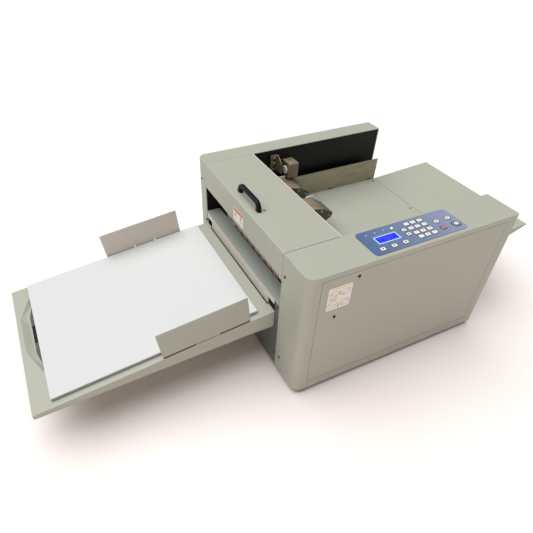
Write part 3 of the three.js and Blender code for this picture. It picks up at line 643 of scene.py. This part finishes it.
# A darker copy of the film for the rings round the keys: painted shade.
key_ring_shade = speckled("key_ring_shade", (0.030, 0.052, 0.130), 0.1, 0.4, 3000, 0.00001, 0, 200)
lcd_frame = speckled("lcd_frame", (0.46, 0.68, 0.84), 0.05, 0.3, 3000, 0.00001, 0, 200)
lcd_blue = glowing("lcd_blue", (0.002, 0.002, 0.80), 0.5)
lcd_mark = glowing("lcd_mark", (0.16, 0.24, 0.98), 0.35)
ink_rose = speckled("ink_rose", (0.50, 0.25, 0.27), 0.08, 0.45, 2500, 0.00001, 0, 300)
LCD_AT = at(192.8, 44.2, FILM_Z)
LCD_SIZE = (45.5, 16.6)
display = [slab(rounded(*LCD_SIZE, 0.8), LCD_AT, *FILM_FACE, 0.25),
           band(rounded(LCD_SIZE[0] + 5, LCD_SIZE[1] + 5, 1.6), rounded(*LCD_SIZE, 0.8), LCD_AT,
                *FILM_FACE, 0.55, 1)]
BAR_SHARES = np.random.default_rng(7).uniform(0.15, 0.75, (4, 11))
for row, shares in enumerate(BAR_SHARES):
    for column, share in enumerate(shares):
        spot = (-18.4 + 3.7 * column, 4.8 - 3.2 * row)
        display.append(slab(rounded(2.7 * share, 1.5, 0.3, spot), LCD_AT, *FILM_FACE, PRINT, 2, 0.25))
piece("display_window", display, [lcd_blue, lcd_frame, lcd_mark], "chassis")

LAMP_PLACES = [(161.5, 65.6), (181.6, 66.4), (201.6, 66.8), (220.6, 66.2)]
lamp_profile = [(-0.1, 0), (-0.1, 1.7), (0.35, 1.7), (0.8, 1.2), (1.0, 0.6), (1.05, 0)]
piece("status_lamps_off", [turned(lamp_profile, at(x, y, FILM_Z), UP, 16) for x, y in LAMP_PLACES[:3]],
      [speckled("lamp_smoke", (0.44, 0.50, 0.62), 0.1, 0.25, 2500, 0.00001, 0, 300)],
      "chassis")
piece("status_lamp_lit", [turned([(0, 0), (0, 2.9), (0.12, 2.9), (0.12, 0)],
                                 at(*LAMP_PLACES[3], FILM_Z), UP, 24),
                          (*turned([(0.2 + a, r) for a, r in lamp_profile], at(*LAMP_PLACES[3], FILM_Z),
                                   UP, 16), 1)],
      [glowing("lamp_glow", (0.95, 0.36, 0.13), 0.3), glowing("lamp_lit", (1.0, 0.88, 0.66), 0.9)],
      "chassis")
ROSE_MARKS = [(-6, 1.2, 5), (0.5, 1.2, 5.4), (7, 1.2, 4.6), (-4.5, -1.6, 7), (4.5, -1.6, 7.5)]
rose_marks = [slab(rounded(w, 1.3, 0.3, (x, y)), at(328, 68.5, FILM_Z), *FILM_FACE, PRINT)
              for x, y, w in ROSE_MARKS]
piece("panel_marks", rose_marks, [ink_rose], "chassis")

# ---- Keys ------------------------------------------------------------------------------------
# Twenty-one sprung keys stand through the film: white ones with moulded-in figures or plain signs,
# a red stop key, and a green start key with a white disc. A dark ring round each is painted shade.
KEY_LEDGE = 0.5
key_white = speckled("key_white", (0.83, 0.81, 0.74), 0.02, 0.36, 2500, 0.00002, 0, 150)
key_red = speckled("key_red", (0.50, 0.17, 0.15), 0.05, 0.36, 2500, 0.00002, 0, 150)
key_green = speckled("key_green", (0.16, 0.28, 0.15), 0.05, 0.4, 2500, 0.00002, 0, 150)
key_ink = speckled("key_ink", (0.045, 0.040, 0.035), 0.1, 0.5, 2500, 0.00001, 0, 300)


def key_cap(lo, hi, radius, dish=0.18):
    """A cap with an outline of rounded corners: rings of the outline shrunk by a share, up the side, over
    the eased edge and down into a shallow dish, which ends in a point at the middle."""
    width, depth = (hi[:2] - lo[:2]) * 1000
    top = (hi[2] - lo[2]) * 1000
    rings = [(0, 0), (1, 0), (1, top - KEY_LEDGE), (0.985, top - 0.22), (0.93, top - 0.05), (0.84, top),
             (0.62, top - dish * 0.5), (0.3, top - dish), (0, top - dish * 1.1)]
    share, height = np.array(rings).T
    outline = rounded(width, depth, radius)
    middle = np.array([(lo[0] + hi[0]) / 2, (lo[1] + hi[1]) / 2, lo[2]])
    flat = share[:, None, None] * outline
    tall = np.broadcast_to(height[:, None, None], (*flat.shape[:2], 1))
    points = middle + np.concatenate([flat, tall], axis=-1) / 1000
    return points.reshape(-1, 3), quads(len(rings), len(outline)).tolist()


def figure(text, size, middle, thick=PRINT):
    """The mesh of a figure size millimetres high, lying flat with its middle at a point in metres."""
    curve = bpy.data.curves.new("figure", "FONT")
    curve.body, curve.size, curve.extrude, curve.resolution_u = text, size / 1000, thick / 2000, 3
    curve.align_x, curve.align_y = "CENTER", "CENTER"
    holder = bpy.data.objects.new("figure", curve)
    bpy.context.scene.collection.objects.link(holder)
    mesh = bpy.data.meshes.new_from_object(holder.evaluated_get(bpy.context.evaluated_depsgraph_get()))
    bpy.data.objects.remove(holder)
    points = np.empty(len(mesh.vertices) * 3)
    mesh.vertices.foreach_get("co", points)
    return points.reshape(-1, 3) + middle, [list(face.vertices) for face in mesh.polygons], 1


def arrow(middle, turn, size):
    """A flat triangle of that size pointing up the keypad, or down it where turn is minus one."""
    return slab(np.array([(-size, -size * 0.7 * turn), (size, -size * 0.7 * turn), (0, size * 0.8 * turn)]),
                middle, *FILM_FACE, PRINT, 1)


KEY_SIGNS = {"pad_key_clear": "\u2013", "pad_key_enter": "+"}
KEY_CORNERS = {"test_key": 4.0, "mode_key": 4.0, "stop_key": 3.9, "start_key": 6.9}
KEY_COLOURS = {"stop_key": (key_red, "red_plastic"), "start_key": (key_green, "green_plastic")}
key_shade_bands = []
for node in sorted(name for name in nodes if "_key" in name):
    key_lo, key_hi = box_m(node)
    corner = KEY_CORNERS.get(node, 1.0)
    colour, key_slot = KEY_COLOURS.get(node, (key_white, "white_plastic"))
    parts = [key_cap(key_lo, key_hi, corner)]
    top = np.array([*(key_lo[:2] + key_hi[:2]) / 2, key_hi[2] - 0.00012])
    sign = KEY_SIGNS.get(node, node.rsplit("_", 1)[1])
    if node.startswith("pad_key"):
        parts.append(figure(sign, 5.2, top))
    elif node in ("up_key", "down_key"):
        parts.append(arrow(top, 1 if node == "up_key" else -1, 2.3))
    elif node == "start_key":
        parts.append(slab(rounded(8.4, 7.2, 3.4), top - np.array((0, 0, 0.0001)), *FILM_FACE, 0.25, 1))
    elif node != "stop_key":
        parts.append(slab(rounded(3.4, 3.0, 0.8), top - np.array((0.0006, 0, 0.0001)), *FILM_FACE, 0.12, 1))
    sign_colour = key_white if node == "start_key" else key_ink
    piece(node + "_cap", parts, [colour, sign_colour], node, [node])
    width, depth = (key_hi[:2] - key_lo[:2]) * 1000
    around = np.array([*top[:2], PANEL_HI[2]])
    # A dark ring round each key: painted shade.
    key_shade_bands.append(band(rounded(width + 3.2, depth + 3.2, corner + 1.4),
                          rounded(width + 0.8, depth + 0.8, corner + 0.4), around, *FILM_FACE, 0.04))
piece("key_rings_painted_shade", key_shade_bands, [key_ring_shade], "chassis")

# ---- Feed heads ------------------------------------------------------------------------------
# Each head is a zinc-plated steel arm, folded over a ribbed rubber feed wheel. Its cheeks and nose are
# darker as painted shade and its rounded edges paler as a painted highlight; a bright screw holds its near
# cheek, and a white nylon guide stands at its far end.
zinc_tan = speckled("zinc_tan", (0.36, 0.275, 0.18), 0.3, 0.36, 1200, 0.00003, 0.35, 60)
# A darker copy of the zinc for the arms' cheeks: painted shade.
cheek_painted_shade = speckled("cheek_painted_shade", (0.125, 0.105, 0.082), 0.45, 0.4, 1200, 0.00004, 0.5, 80)
# A paler copy of the zinc for rounded edges: painted highlight.
rim_painted_highlight = speckled("rim_painted_highlight", (0.42, 0.37, 0.29), 0.15, 0.35, 1200, 0.00003, 0.5, 120)
# Grey for the arms' noses: painted shade.
nose_painted_shade = speckled("nose_painted_shade", (0.175, 0.175, 0.150), 0.12, 0.4, 1400, 0.00004, 0.3, 60)
nylon_white = speckled("nylon_white", (0.66, 0.69, 0.74), 0.04, 0.4, 1800, 0.00003, 0, 120)
wheel_rubber = speckled("wheel_rubber", (0.040, 0.036, 0.032), 0.25, 0.8, 1500, 0.00008, 0, 120)
NOSE_X = 65.5
TREAD_RIBS = 40


def head_colours(pivot_x):
    """The arm's cheeks are the faces that look front or back, and its nose the roof beyond NOSE_X; both take
    a darker colour as painted shade.
    """
    def pick(middles, normals):
        nose = middles[:, 0] > pivot_x + NOSE_X / 1000
        return np.where(np.abs(normals[:, 1]) > 0.7, 1, np.where(nose, 2, 0))
    return pick


def rod(centre, first, last, outer, inner=0, ease=0.6, sides=24):
    """A rod or sleeve that runs back from first to last millimetres off centre, its rims eased."""
    return turned([(first, inner), (first, outer - ease), (first + ease, outer), (last - ease, outer),
                   (last, outer - ease), (last, inner)], centre, BACK, sides)


def waved(profile, middle, axis, rows, swell):
    """A turned profile with a side for each number in swell, the share of its radius by which the rings
    in rows reach out there."""
    points, faces = turned(profile, middle, axis, len(swell))
    rings = points.reshape(len(profile), len(swell), 3)
    rings[rows] += (rings[rows] - middle) * swell[:, None] * (1 - np.abs(axis))
    return rings.reshape(-1, 3), faces


def ribbed_wheel(lo, hi):
    """A tyre with ribs across it: rings of a turned profile whose tread rings swell and sink with a
    cosine of the angle, TREAD_RIBS times round, and a raised hub on each side."""
    middle = (lo + hi) / 2
    reach, half = (hi[2] - lo[2]) * 500, 15.0
    cheek = [(-half - 2.5, 0), (-half - 2.5, 7), (-half + 0.5, 7), (-half + 0.5, reach - 8),
             (-half, reach - 6), (-half, reach - 1.6), (-half + 1.2, reach - 0.5)]
    profile = [*cheek, *[(-along, radius) for along, radius in reversed(cheek)]]
    swell = 0.5 / reach * np.cos(np.arange(TREAD_RIBS * 4) * math.pi / 2)
    return waved(profile, middle, BACK, slice(6, 8), swell)


for end, guide_x, guide_top in (("front", (199, 219), 232.5), ("rear", (183, 202), 237.0)):
    arm, wheel = f"feed_arm_{end}", f"feed_wheel_{end}"
    arm_lo, arm_hi = box_mm(arm)
    shaft_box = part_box("feed_drive_shaft")
    shaft_x = (shaft_box[0][0] + shaft_box[1][0]) / 2
    eased(arm, arm, 0.0006, [zinc_tan, cheek_painted_shade, nose_painted_shade, rim_painted_highlight], 2,
          head_colours(shaft_x), rim=3)
    near_y, far_y = arm_lo[1], arm_hi[1]
    head_screws = [button_screw(at(209.5, near_y, 221.4), FRONT, 2.7, 1.8)]
    head_screws += [button_screw(at(x, near_y, z), FRONT, 2.2, 1.5) for x, z in ((232, 206), (182, 205))]
    head_screws += [button_screw(at(x, far_y, 214), BACK, 2.7, 1.8) for x in (184, 226)]
    piece(f"head_screws_{end}", head_screws, [bright_steel], arm)
    guide = block(at(guide_x[0], far_y + 0.3, 204), at(guide_x[1], far_y + 3.6, guide_top), 1.2)
    piece(f"nylon_guide_{end}", [guide], [nylon_white], arm)
    wheel_lo, wheel_hi = box_m(wheel)
    axle_half = (wheel_hi[1] - wheel_lo[1]) * 500
    axle = rod((wheel_lo + wheel_hi) / 2, -axle_half, axle_half, 3, sides=20)
    piece(f"ribbed_wheel_{end}", [ribbed_wheel(wheel_lo, wheel_hi), (*axle, 1)],
          [wheel_rubber, bright_steel], wheel, [wheel])

# ---- Separator adjuster ----------------------------------------------------------------------
# A zinc-plated block on the black rear plate, two bright screws in its top, with a white knurled wheel
# at its left and a bent mounting plate beyond, which has two bright screws and an open hole. The block's
# sides are darker as painted shade, its rounded edges paler as a painted highlight, and the holes are
# dark discs of painted shade.
# A darker copy of the zinc for the block's sides: painted shade.
block_side_painted_shade = speckled("block_side_painted_shade", (0.24, 0.21, 0.160), 0.3, 0.38, 1200, 0.00004, 0.5, 80)
plate_bronze = speckled("plate_bronze", (0.20, 0.175, 0.12), 0.2, 0.4, 1200, 0.00004, 0.5, 80)
# Black for the wing and backing plate, and for discs of painted shade where holes are.
wing_black_and_hole_shade = speckled("wing_black_and_hole_shade", (0.020, 0.018, 0.014), 0.3, 0.5, 1200, 0.00004, 0.3, 80)
BLOCK_X = 202.5
PLATE_X = 186.4


def adjuster_colours(middles, normals):
    """The block is right of BLOCK_X, its top the faces that look up, and its other faces take the darker
    colour as painted shade. The mounting plate is left of PLATE_X, and the wing and backing plate are between
    them."""
    x = (middles[:, 0] - DATUM[0]) * 1000
    return np.where(x > BLOCK_X, np.where(normals[:, 2] > 0.7, 0, 1), np.where(x < PLATE_X, 2, 3))


eased("adjuster_block", "chassis", 0.0006, [zinc_tan, block_side_painted_shade, plate_bronze, wing_black_and_hole_shade,
                                                     rim_painted_highlight], 2, adjuster_colours, rim=4)
adjuster_screws = [button_screw(at(x, y, 271), UP, 2.6, 1.7) for x, y in ((208.5, 437), (212.5, 421))]
adjuster_screws += [button_screw(at(177, 441, z), FRONT, 2.6, 1.7) for z in (281, 268)]
piece("adjuster_screws", adjuster_screws, [bright_steel], "chassis")
# Dark discs where the mounting plate's holes are: painted shade.
piece("adjuster_hole_shade", [turned([(-0.1, 0), (-0.1, r), (0.08, r), (0.08, 0)], at(177, 441, z), FRONT, 20)
                         for z, r in ((274.5, 2.0), (258, 3.2))], [wing_black_and_hole_shade], "chassis")


KNURLS = 30


def knurled_wheel(lo, hi):
    """A disc turned about X whose rim rings swell by a cosine of the angle, KNURLS times round."""
    middle = (lo + hi) / 2
    half, reach = (hi[0] - lo[0]) * 500, (hi[2] - lo[2]) * 500 - 0.3
    profile = [(-half, 0), (-half, 3.2), (-half + 0.8, 3.2), (-half + 0.8, 4.4), (-half, 4.4),
               (-half, reach - 1), (-half + 0.6, reach), (half - 0.6, reach), (half, reach - 1), (half, 0)]
    swell = 0.3 / reach * np.cos(np.arange(KNURLS * 4) * math.pi / 2)
    return waved(profile, middle, RIGHT, slice(6, 8), swell)


wheel_lo, wheel_hi = box_m("adjuster_wheel")
pointer = block((wheel_lo + wheel_hi) / 2 + np.array((-0.0024, -0.0006, 0.0052)),
                (wheel_lo + wheel_hi) / 2 + np.array((-0.0018, 0.0006, 0.0088)), 0.15)
piece("knurled_wheel", [knurled_wheel(wheel_lo, wheel_hi), (*pointer, 1)], [key_white, key_ink],
      "adjuster", ["adjuster_wheel"], 50)

# ---- Exit rollers and feed shaft -------------------------------------------------------------
# Ground steel shafts run in the side plates. The upper one carries five tan rubber tyres and black
# spacers, the lower one is a knurled steel roller, and two toothed pulleys sit beyond the rear plate.
tyre_tan = speckled("tyre_tan", (0.42, 0.28, 0.19), 0.15, 0.7, 1500, 0.00006, 0, 90)
ground_steel = speckled("ground_steel", (0.50, 0.49, 0.46), 0.08, 0.26, 700, 0.00001, 1.0, 60, (1, 0.05, 1))
pulley_black = speckled("pulley_black", (0.03, 0.03, 0.03), 0.15, 0.5, 1500, 0.00004, 0, 90)
TYRES_Y = (100, 170, 240, 310, 380)
TYRE_L = 40
TYRE_BORE = 3.9
PULLEY_Y = (456, 470)
TEETH_PITCH = 3.0


def shaft_line(node):
    """X and Z of the middle of a shaft in millimetres, its first and last Y, and its largest radius."""
    lo, hi = box_mm(node)
    return (lo[0] + hi[0]) / 2, (lo[2] + hi[2]) / 2, lo[1], hi[1], (hi[2] - lo[2]) / 2


def shaft(node, radius):
    """A plain rod with eased ends."""
    x, z, first, last, _ = shaft_line(node)
    return rod(at(x, 0, z), first, last, radius)


def tyre(x, z, first, last, outer):
    """A sleeve round a shaft, from first to last."""
    return rod(at(x, 0, z), first, last, outer, TYRE_BORE, 0.8, 32)


def toothed_pulley(node):
    """Two flanges and between them a drum with teeth, whose rings sink where a square wave of the angle,
    a tooth every TEETH_PITCH millimetres, is low."""
    x, z, *_, radius = shaft_line(node)
    first, last = PULLEY_Y
    teeth = round(2 * math.pi * radius / TEETH_PITCH)
    profile = [(first, 0), (first, radius), (first + 0.9, radius), (first + 1, radius - 0.3),
               (last - 1, radius - 0.3), (last - 0.9, radius), (last, radius), (last, 0)]
    swell = np.where(np.arange(teeth * 4) % 4 < 2, 0.0, -1.0 / radius)
    return waved(profile, at(x, 0, z), BACK, slice(3, 5), swell)


roller_x, roller_z = shaft_line("upper_exit_roller")[:2]
upper = [(*shaft("upper_exit_roller", 4), 1), (*toothed_pulley("upper_exit_roller"), 2)]
upper += [(*tyre(roller_x, roller_z, y, y + TYRE_L, 12), 0) for y in TYRES_Y]
upper += [(*tyre(roller_x, roller_z, y + TYRE_L + 3, y + 67, 7), 2) for y in TYRES_Y[:-1]]
piece("upper_roller_finished", upper, [tyre_tan, ground_steel, pulley_black], "upper_roller",
      ["upper_exit_roller"])
roller_x, roller_z, *_, lower_r = shaft_line("lower_exit_roller")
piece("lower_roller_finished", [shaft("lower_exit_roller", 4), tyre(roller_x, roller_z, 92, 438, lower_r)],
      [ground_steel], "lower_roller", ["lower_exit_roller"])
piece("feed_shaft_finished", [shaft("feed_drive_shaft", 6), (*toothed_pulley("feed_drive_shaft"), 1)],
      [ground_steel, pulley_black], "feed_shaft", ["feed_drive_shaft"])

# ---- Creasing unit ---------------------------------------------------------------------------
# A hardened steel blade in a clamp bar comes down into the groove of the anvil, which spans the side
# plates. Both are ground along their length, and cap screws clamp the blade.
ground_bar = speckled("ground_bar", (0.36, 0.35, 0.32), 0.1, 0.32, 800, 0.00001, 0.9, 50, (1, 0.04, 1))
eased("crease_blade", "blade", 0.0004, [ground_bar])
eased("crease_anvil", "chassis", 0.0005, [ground_bar])
blade_x = box_mm("crease_blade")[0][0]
screws("clamp_screws", [(blade_x, y, 213) for y in range(110, 431, 40)], LEFT, black_oxide, 3.2, 2.0, "blade")

# ---- Main motor, pulley and belt -------------------------------------------------------------
# A finned aluminium gear motor stands behind the rear plate's inner face, with its terminal box below.
# A toothed belt runs from its small pulley round the feed shaft's and the roller's pulleys.
cast_grey = speckled("cast_grey", (0.085, 0.088, 0.090), 0.12, 0.5, 1200, 0.00008, 0.4, 60)
belt_black = speckled("belt_black", (0.022, 0.021, 0.020), 0.2, 0.75, 1500, 0.00006, 0, 90)
MOTOR_FINS = 9
motor_x, motor_z = shaft_line("motor_pulley")[:2]
motor_lo, motor_hi = box_mm("main_motor")
motor_r = motor_hi[2] - motor_z


def finned_motor():
    """A turned profile: an end bell, then fins that step between two radii, then the flange with its
    bearing boss, closed round the shaft's hole."""
    first, last = motor_lo[1], motor_hi[1]
    fins = np.linspace(first + 12, last - 14, MOTOR_FINS * 2)
    steps = [(y, r) for i, y in enumerate(fins)
             for r in ((motor_r, motor_r - 4) if i % 2 else (motor_r - 4, motor_r))]
    profile = [(first, 0), (first, motor_r - 9), (first + 3, motor_r - 4), *steps,
               (last - 8, motor_r - 4), (last - 8, motor_r), (last, motor_r), (last, 4.6), (last - 10, 4.6),
               (last - 10, 0)]
    return turned(profile, at(motor_x, 0, motor_z), BACK, 48)


terminal_box = block(at(motor_x - 22, 380, motor_lo[2]), at(motor_x + 22, 440, motor_z - 22), 2)
piece("finned_motor", [finned_motor(), (*terminal_box, 1)], [cast_grey, moulded_black], "chassis",
      ["main_motor"])
piece("motor_pulley_finished", [shaft("motor_pulley", 4), (*toothed_pulley("motor_pulley"), 0)],
      [ground_steel], "motor_rotor", ["motor_pulley"])


def belt_ring(gap, teeth=0.0):
    """Rings of points round the three pulleys, gap millimetres outside them: an arc on each pulley, from
    one tangent's heading to the next, evenly spaced again by length, with teeth that sink inwards."""
    wheels = [(np.array(shaft_line(node)[:2]), shaft_line(node)[4])
              for node in ("motor_pulley", "feed_drive_shaft", "upper_exit_roller")]
    tangents = []
    for (start, start_r), (finish, finish_r) in zip(wheels, wheels[1:] + wheels[:1]):
        span = finish - start
        tangents.append(math.atan2(span[1], span[0]) - math.acos((start_r - finish_r) / np.hypot(*span)))
    arcs = []
    for number, (middle, radius) in enumerate(wheels):
        begin = tangents[number - 1]
        sweep = (tangents[number] - begin) % (2 * math.pi)
        angle = begin + np.linspace(0, 1, 40) * sweep
        arcs.append(middle + (radius + gap) * np.stack([np.cos(angle), np.sin(angle)], axis=-1))
    outline = np.concatenate([*arcs, arcs[0][:1]])
    length = np.concatenate([[0], np.cumsum(np.linalg.norm(np.diff(outline, axis=0), axis=1))])
    even = np.linspace(0, length[-1], BELT_STEPS, endpoint=False)
    ring = np.stack([np.interp(even, length, outline[:, axis]) for axis in (0, 1)], axis=-1)
    out = np.roll(ring, -1, axis=0) - np.roll(ring, 1, axis=0)
    out = np.stack([out[:, 1], -out[:, 0]], axis=-1) / np.linalg.norm(out, axis=1, keepdims=True)
    return ring - out * (np.arange(BELT_STEPS) % 4 < 2)[:, None] * teeth


BELT_STEPS = 720
belt_lo, belt_hi = box_mm("drive_belt")
outer_ring, inner_ring = belt_ring(2.3), belt_ring(1.1, 0.8)
belt_rings = [(outer_ring, belt_lo[1]), (outer_ring, belt_hi[1]),
              (inner_ring, belt_hi[1]), (inner_ring, belt_lo[1])]
belt_points = np.concatenate([at(ring[:, 0], y, ring[:, 1]) for ring, y in belt_rings])
piece("toothed_belt", [(belt_points, quads(4, BELT_STEPS, loop=True).tolist())], [belt_black], "chassis",
      ["drive_belt"])

# ---- Power supply ----------------------------------------------------------------------------
# A folded, galvanised case with punched vent holes in its top, drawn as dark discs of painted shade. A black
# terminal strip with seven clamp screws stands in the recess at its left end.
galvanised = speckled("galvanised", (0.34, 0.345, 0.34), 0.18, 0.4, 900, 0.00002, 0.85, 55)
eased("power_supply", "chassis", 0.0005, [galvanised])
supply_hi = box_mm("power_supply")[1]
# Dark discs where the punched vent holes are: painted shade.
vent_profile = [(-0.1, 0), (-0.1, 2.2), (0.06, 2.2), (0.06, 0)]
piece("supply_vent_shade", [turned(vent_profile, at(x, y, supply_hi[2]), UP, 12)
                       for x in range(282, 391, 12) for y in range(345, 430, 12)],
      [wing_black_and_hole_shade], "chassis")
STRIP_TOP = 33
terminal_parts = [block(at(251, 344, 20.2), at(261, 426, STRIP_TOP), 0.6)]
for y in range(350, 421, 10):
    terminal_parts.append(block(at(251.5, y + 4.4, STRIP_TOP - 1), at(260.5, y + 5.6, STRIP_TOP + 4), 0.3))
    terminal_parts.append((*button_screw(at(256, y, STRIP_TOP), UP, 2.6, 1.5), 1))
piece("supply_terminals", terminal_parts, [moulded_black, bright_steel], "chassis")

# ---- Control board ---------------------------------------------------------------------------
# A green fibreglass board on the front side plate. It carries a relay, a taped transformer, a white
# connector, a film capacitor, three chips on bent tin legs and a row of electrolytic capacitors.
board_green = speckled("board_green", (0.012, 0.085, 0.030), 0.2, 0.35, 700, 0.00003, 0, 220)
coil_tape = speckled("coil_tape", (0.50, 0.36, 0.05), 0.08, 0.45, 1500, 0.00003, 0, 120)
connector_white = speckled("connector_white", (0.70, 0.68, 0.60), 0.04, 0.4, 1500, 0.00003, 0, 120)
capacitor_blue = speckled("capacitor_blue", (0.03, 0.09, 0.26), 0.08, 0.3, 1500, 0.00003, 0, 120)
BOARD_FACE = 66.0


def board_colours(middles, normals):
    """The laminate is behind BOARD_FACE. Of the blocks in front, the coil is the middle one, the
    connector the right one, and the relay is below the film capacitor at the left."""
    x, y, z = ((middles - DATUM) * 1000).T
    blocks = np.where(x > 275, 3, np.where(x > 212, 2, np.where(z > 180, 4, 1)))
    return np.where(y > BOARD_FACE - 0.1, 0, blocks)


eased("control_board", "chassis", 0.0003,
      [board_green, moulded_black, coil_tape, connector_white, capacitor_blue], 2, board_colours)
board_parts = []
for x, z, width, tall in ((236, 140, 22, 14), (236, 222, 26, 12), (312, 222, 12, 12)):
    board_parts.append((*block(at(x - width / 2, BOARD_FACE - 3.4, z - tall / 2),
                               at(x + width / 2, BOARD_FACE - 0.8, z + tall / 2), 0.4), 0))
    for step in np.arange(-width / 2 + 1.6, width / 2 - 1, 2.54):
        for leg_z in (z - (tall / 2 + 0.6), z + (tall / 2 + 0.6)):
            board_parts.append((*block(at(x + step - 0.3, BOARD_FACE - 2.2, leg_z - 0.9),
                                       at(x + step + 0.3, BOARD_FACE + 0.1, leg_z + 0.9), 0.2, 1), 1))
can_profile = [(-0.1, 0), (-0.1, 4), (8.6, 4), (9, 3.8), (9.3, 4), (10.6, 4), (11, 3.6), (11, 0)]
board_parts += [(*turned(can_profile, at(x, BOARD_FACE, 160), FRONT, 20), 2) for x in range(182, 273, 10)
                if not 216 < x < 225]
piece("board_components", board_parts, [moulded_black, bright_steel, capacitor_blue], "chassis")
solder_profile = [(-0.1, 0), (-0.1, 0.9), (0.3, 0.7), (0.7, 0.2), (0.7, 0)]
solder_spots = np.random.default_rng(4).uniform((176, 124), (324, 236), (90, 2))
piece("board_joints", [turned(solder_profile, at(x, 67.6, z), BACK, 8) for x, z in solder_spots],
      [bright_steel], "chassis")

# ---- Mains inlet and power switch ------------------------------------------------------------
# A moulded black inlet with three plated pins, held by two screws, and a black rocker in a bezel
# beside it, with a raised bar and ring for on and off.
INLET_X, INLET_Z = 430, 55
INLET_PINS = [(-7, 1.5), (0, -1.5), (7, 1.5)]
MOUTH_FLOOR = 477
PIN_ENDS = 489.5


def inlet_colours(middles, normals):
    """The pins' faces are those within 2.3 mm of a pin's line and between the mouth's floor and its
    rim."""
    x, y, z = ((middles - DATUM) * 1000).T
    near = [(np.abs(x - INLET_X - dx) < 1.3) & (np.abs(z - INLET_Z - dz) < 2.3) for dx, dz in INLET_PINS]
    return np.any(near, axis=0) & (y > MOUTH_FLOOR) & (y < PIN_ENDS)


eased("mains_inlet", "chassis", 0.0004, [moulded_black, bright_steel], 2, inlet_colours)
inlet_face = (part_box("mains_inlet")[1][1] - DATUM[1]) * 1000
piece("inlet_screws", [turned([(-1, 0), (-1, 2.8), (-0.2, 2.8), (-0.2, 1.4), (-0.9, 1.2), (-0.9, 0)],
                              at(INLET_X + dx, inlet_face, INLET_Z), BACK, 20) for dx in (-19, 19)],
      [black_oxide], "chassis")
eased("rocker_switch", "rocker", 0.0005, [moulded_black], 3)
ROCKER_X, ROCKER_Z = 375, 55
piece("switch_bezel", [band(rounded(20, 28, 2), rounded(13.6, 20.6, 0.5), at(ROCKER_X, BACK_Y, ROCKER_Z),
                            *BACK_FACE, 1.2)], [moulded_black], "chassis")
TIP = math.radians(-8)
FACET = math.atan2(2.5, 9.5)
PIVOT_Y = 490
MARK_OUT, MARK_UP = 1.75, 4.75
for name, side in (("mark_on", 1), ("mark_off", -1)):
    middle_y = PIVOT_Y + MARK_OUT * math.cos(TIP) - MARK_UP * side * math.sin(TIP)
    middle_z = ROCKER_Z + MARK_OUT * math.sin(TIP) + MARK_UP * side * math.cos(TIP)
    lean = FACET * side - TIP
    face = (LEFT, (0, math.sin(lean), math.cos(lean)))
    spot = at(ROCKER_X, middle_y, middle_z)
    mark = (slab(rounded(0.8, 4.4, 0.3), spot, *face, 0.1) if side > 0 else
            band(*ring(4.2, 4.2, 2), spot, *face, 0.1))
    piece(name, [mark], [key_white], "rocker")

# ---- Rubber feet -----------------------------------------------------------------------------
# Four moulded rubber feet taper to a flat tread with a groove round it, each screwed on through a
# deep hole from below.
foot_rubber = speckled("foot_rubber", (0.020, 0.020, 0.020), 0.2, 0.85, 1500, 0.0001, 0, 100)
for node in sorted(name for name in nodes if name.startswith("foot_")):
    foot_lo, foot_hi = box_m(node)
    tall, wide = (foot_hi[2] - foot_lo[2]) * 1000, (foot_hi[0] - foot_lo[0]) * 500
    profile = [(0, 4.2), (0, wide - 4.2), (0.5, wide - 3.9), (0.5, wide - 3.3), (0, wide - 3.0),
               (0, wide - 2.1), (0.6, wide - 1.6), (tall - 0.8, wide), (tall, wide - 0.6), (tall, 0),
               (5, 0), (5, 4.2)]
    base = np.array([*(foot_lo[:2] + foot_hi[:2]) / 2, foot_lo[2]])
    head = button_screw(base + np.array((0, 0, 0.0052)), DOWN, 3.6, 1.8)
    piece(node + "_moulded", [turned(profile, base, UP, 36), (*head, 1)], [foot_rubber, bright_steel],
          "chassis", [node])

# ---- Delivered sheets ------------------------------------------------------------------------
# A stack of plain white office paper lies on the tray. Each sheet is slightly off the one below,
# so its edges show as fine lines.
SHEETS = 50
paper_white = speckled("paper_white", (0.645, 0.66, 0.665), 0.006, 0.85, 1800, 0.00002, 0, 40)
PAPER_S = (31.5, 434.6)
PAPER_Y = (110.7, 436.5)
PAPER_H = (2.0, 7.0)


def sheet_stack(slack=0.5):
    """Thin boxes piled up along the tray's normal, each shorter and narrower than the stack by up to
    twice slack millimetres and shifted at random inside it."""
    thick = (PAPER_H[1] - PAPER_H[0]) / SHEETS
    shifts = np.random.default_rng(11).uniform(-slack, slack, (SHEETS, 2))
    sheets = []
    for number, (along, across) in enumerate(shifts):
        low = PAPER_H[0] + thick * number
        sheets.append(tray_block((PAPER_S[0] + slack + along, PAPER_S[1] - slack + along),
                                 (PAPER_Y[0] + slack + across, PAPER_Y[1] - slack + across),
                                 (low, low + thick * 0.8)))
    return sheets


piece("delivered_sheets", sheet_stack(), [paper_white], "sheets", ["paper_stack"])
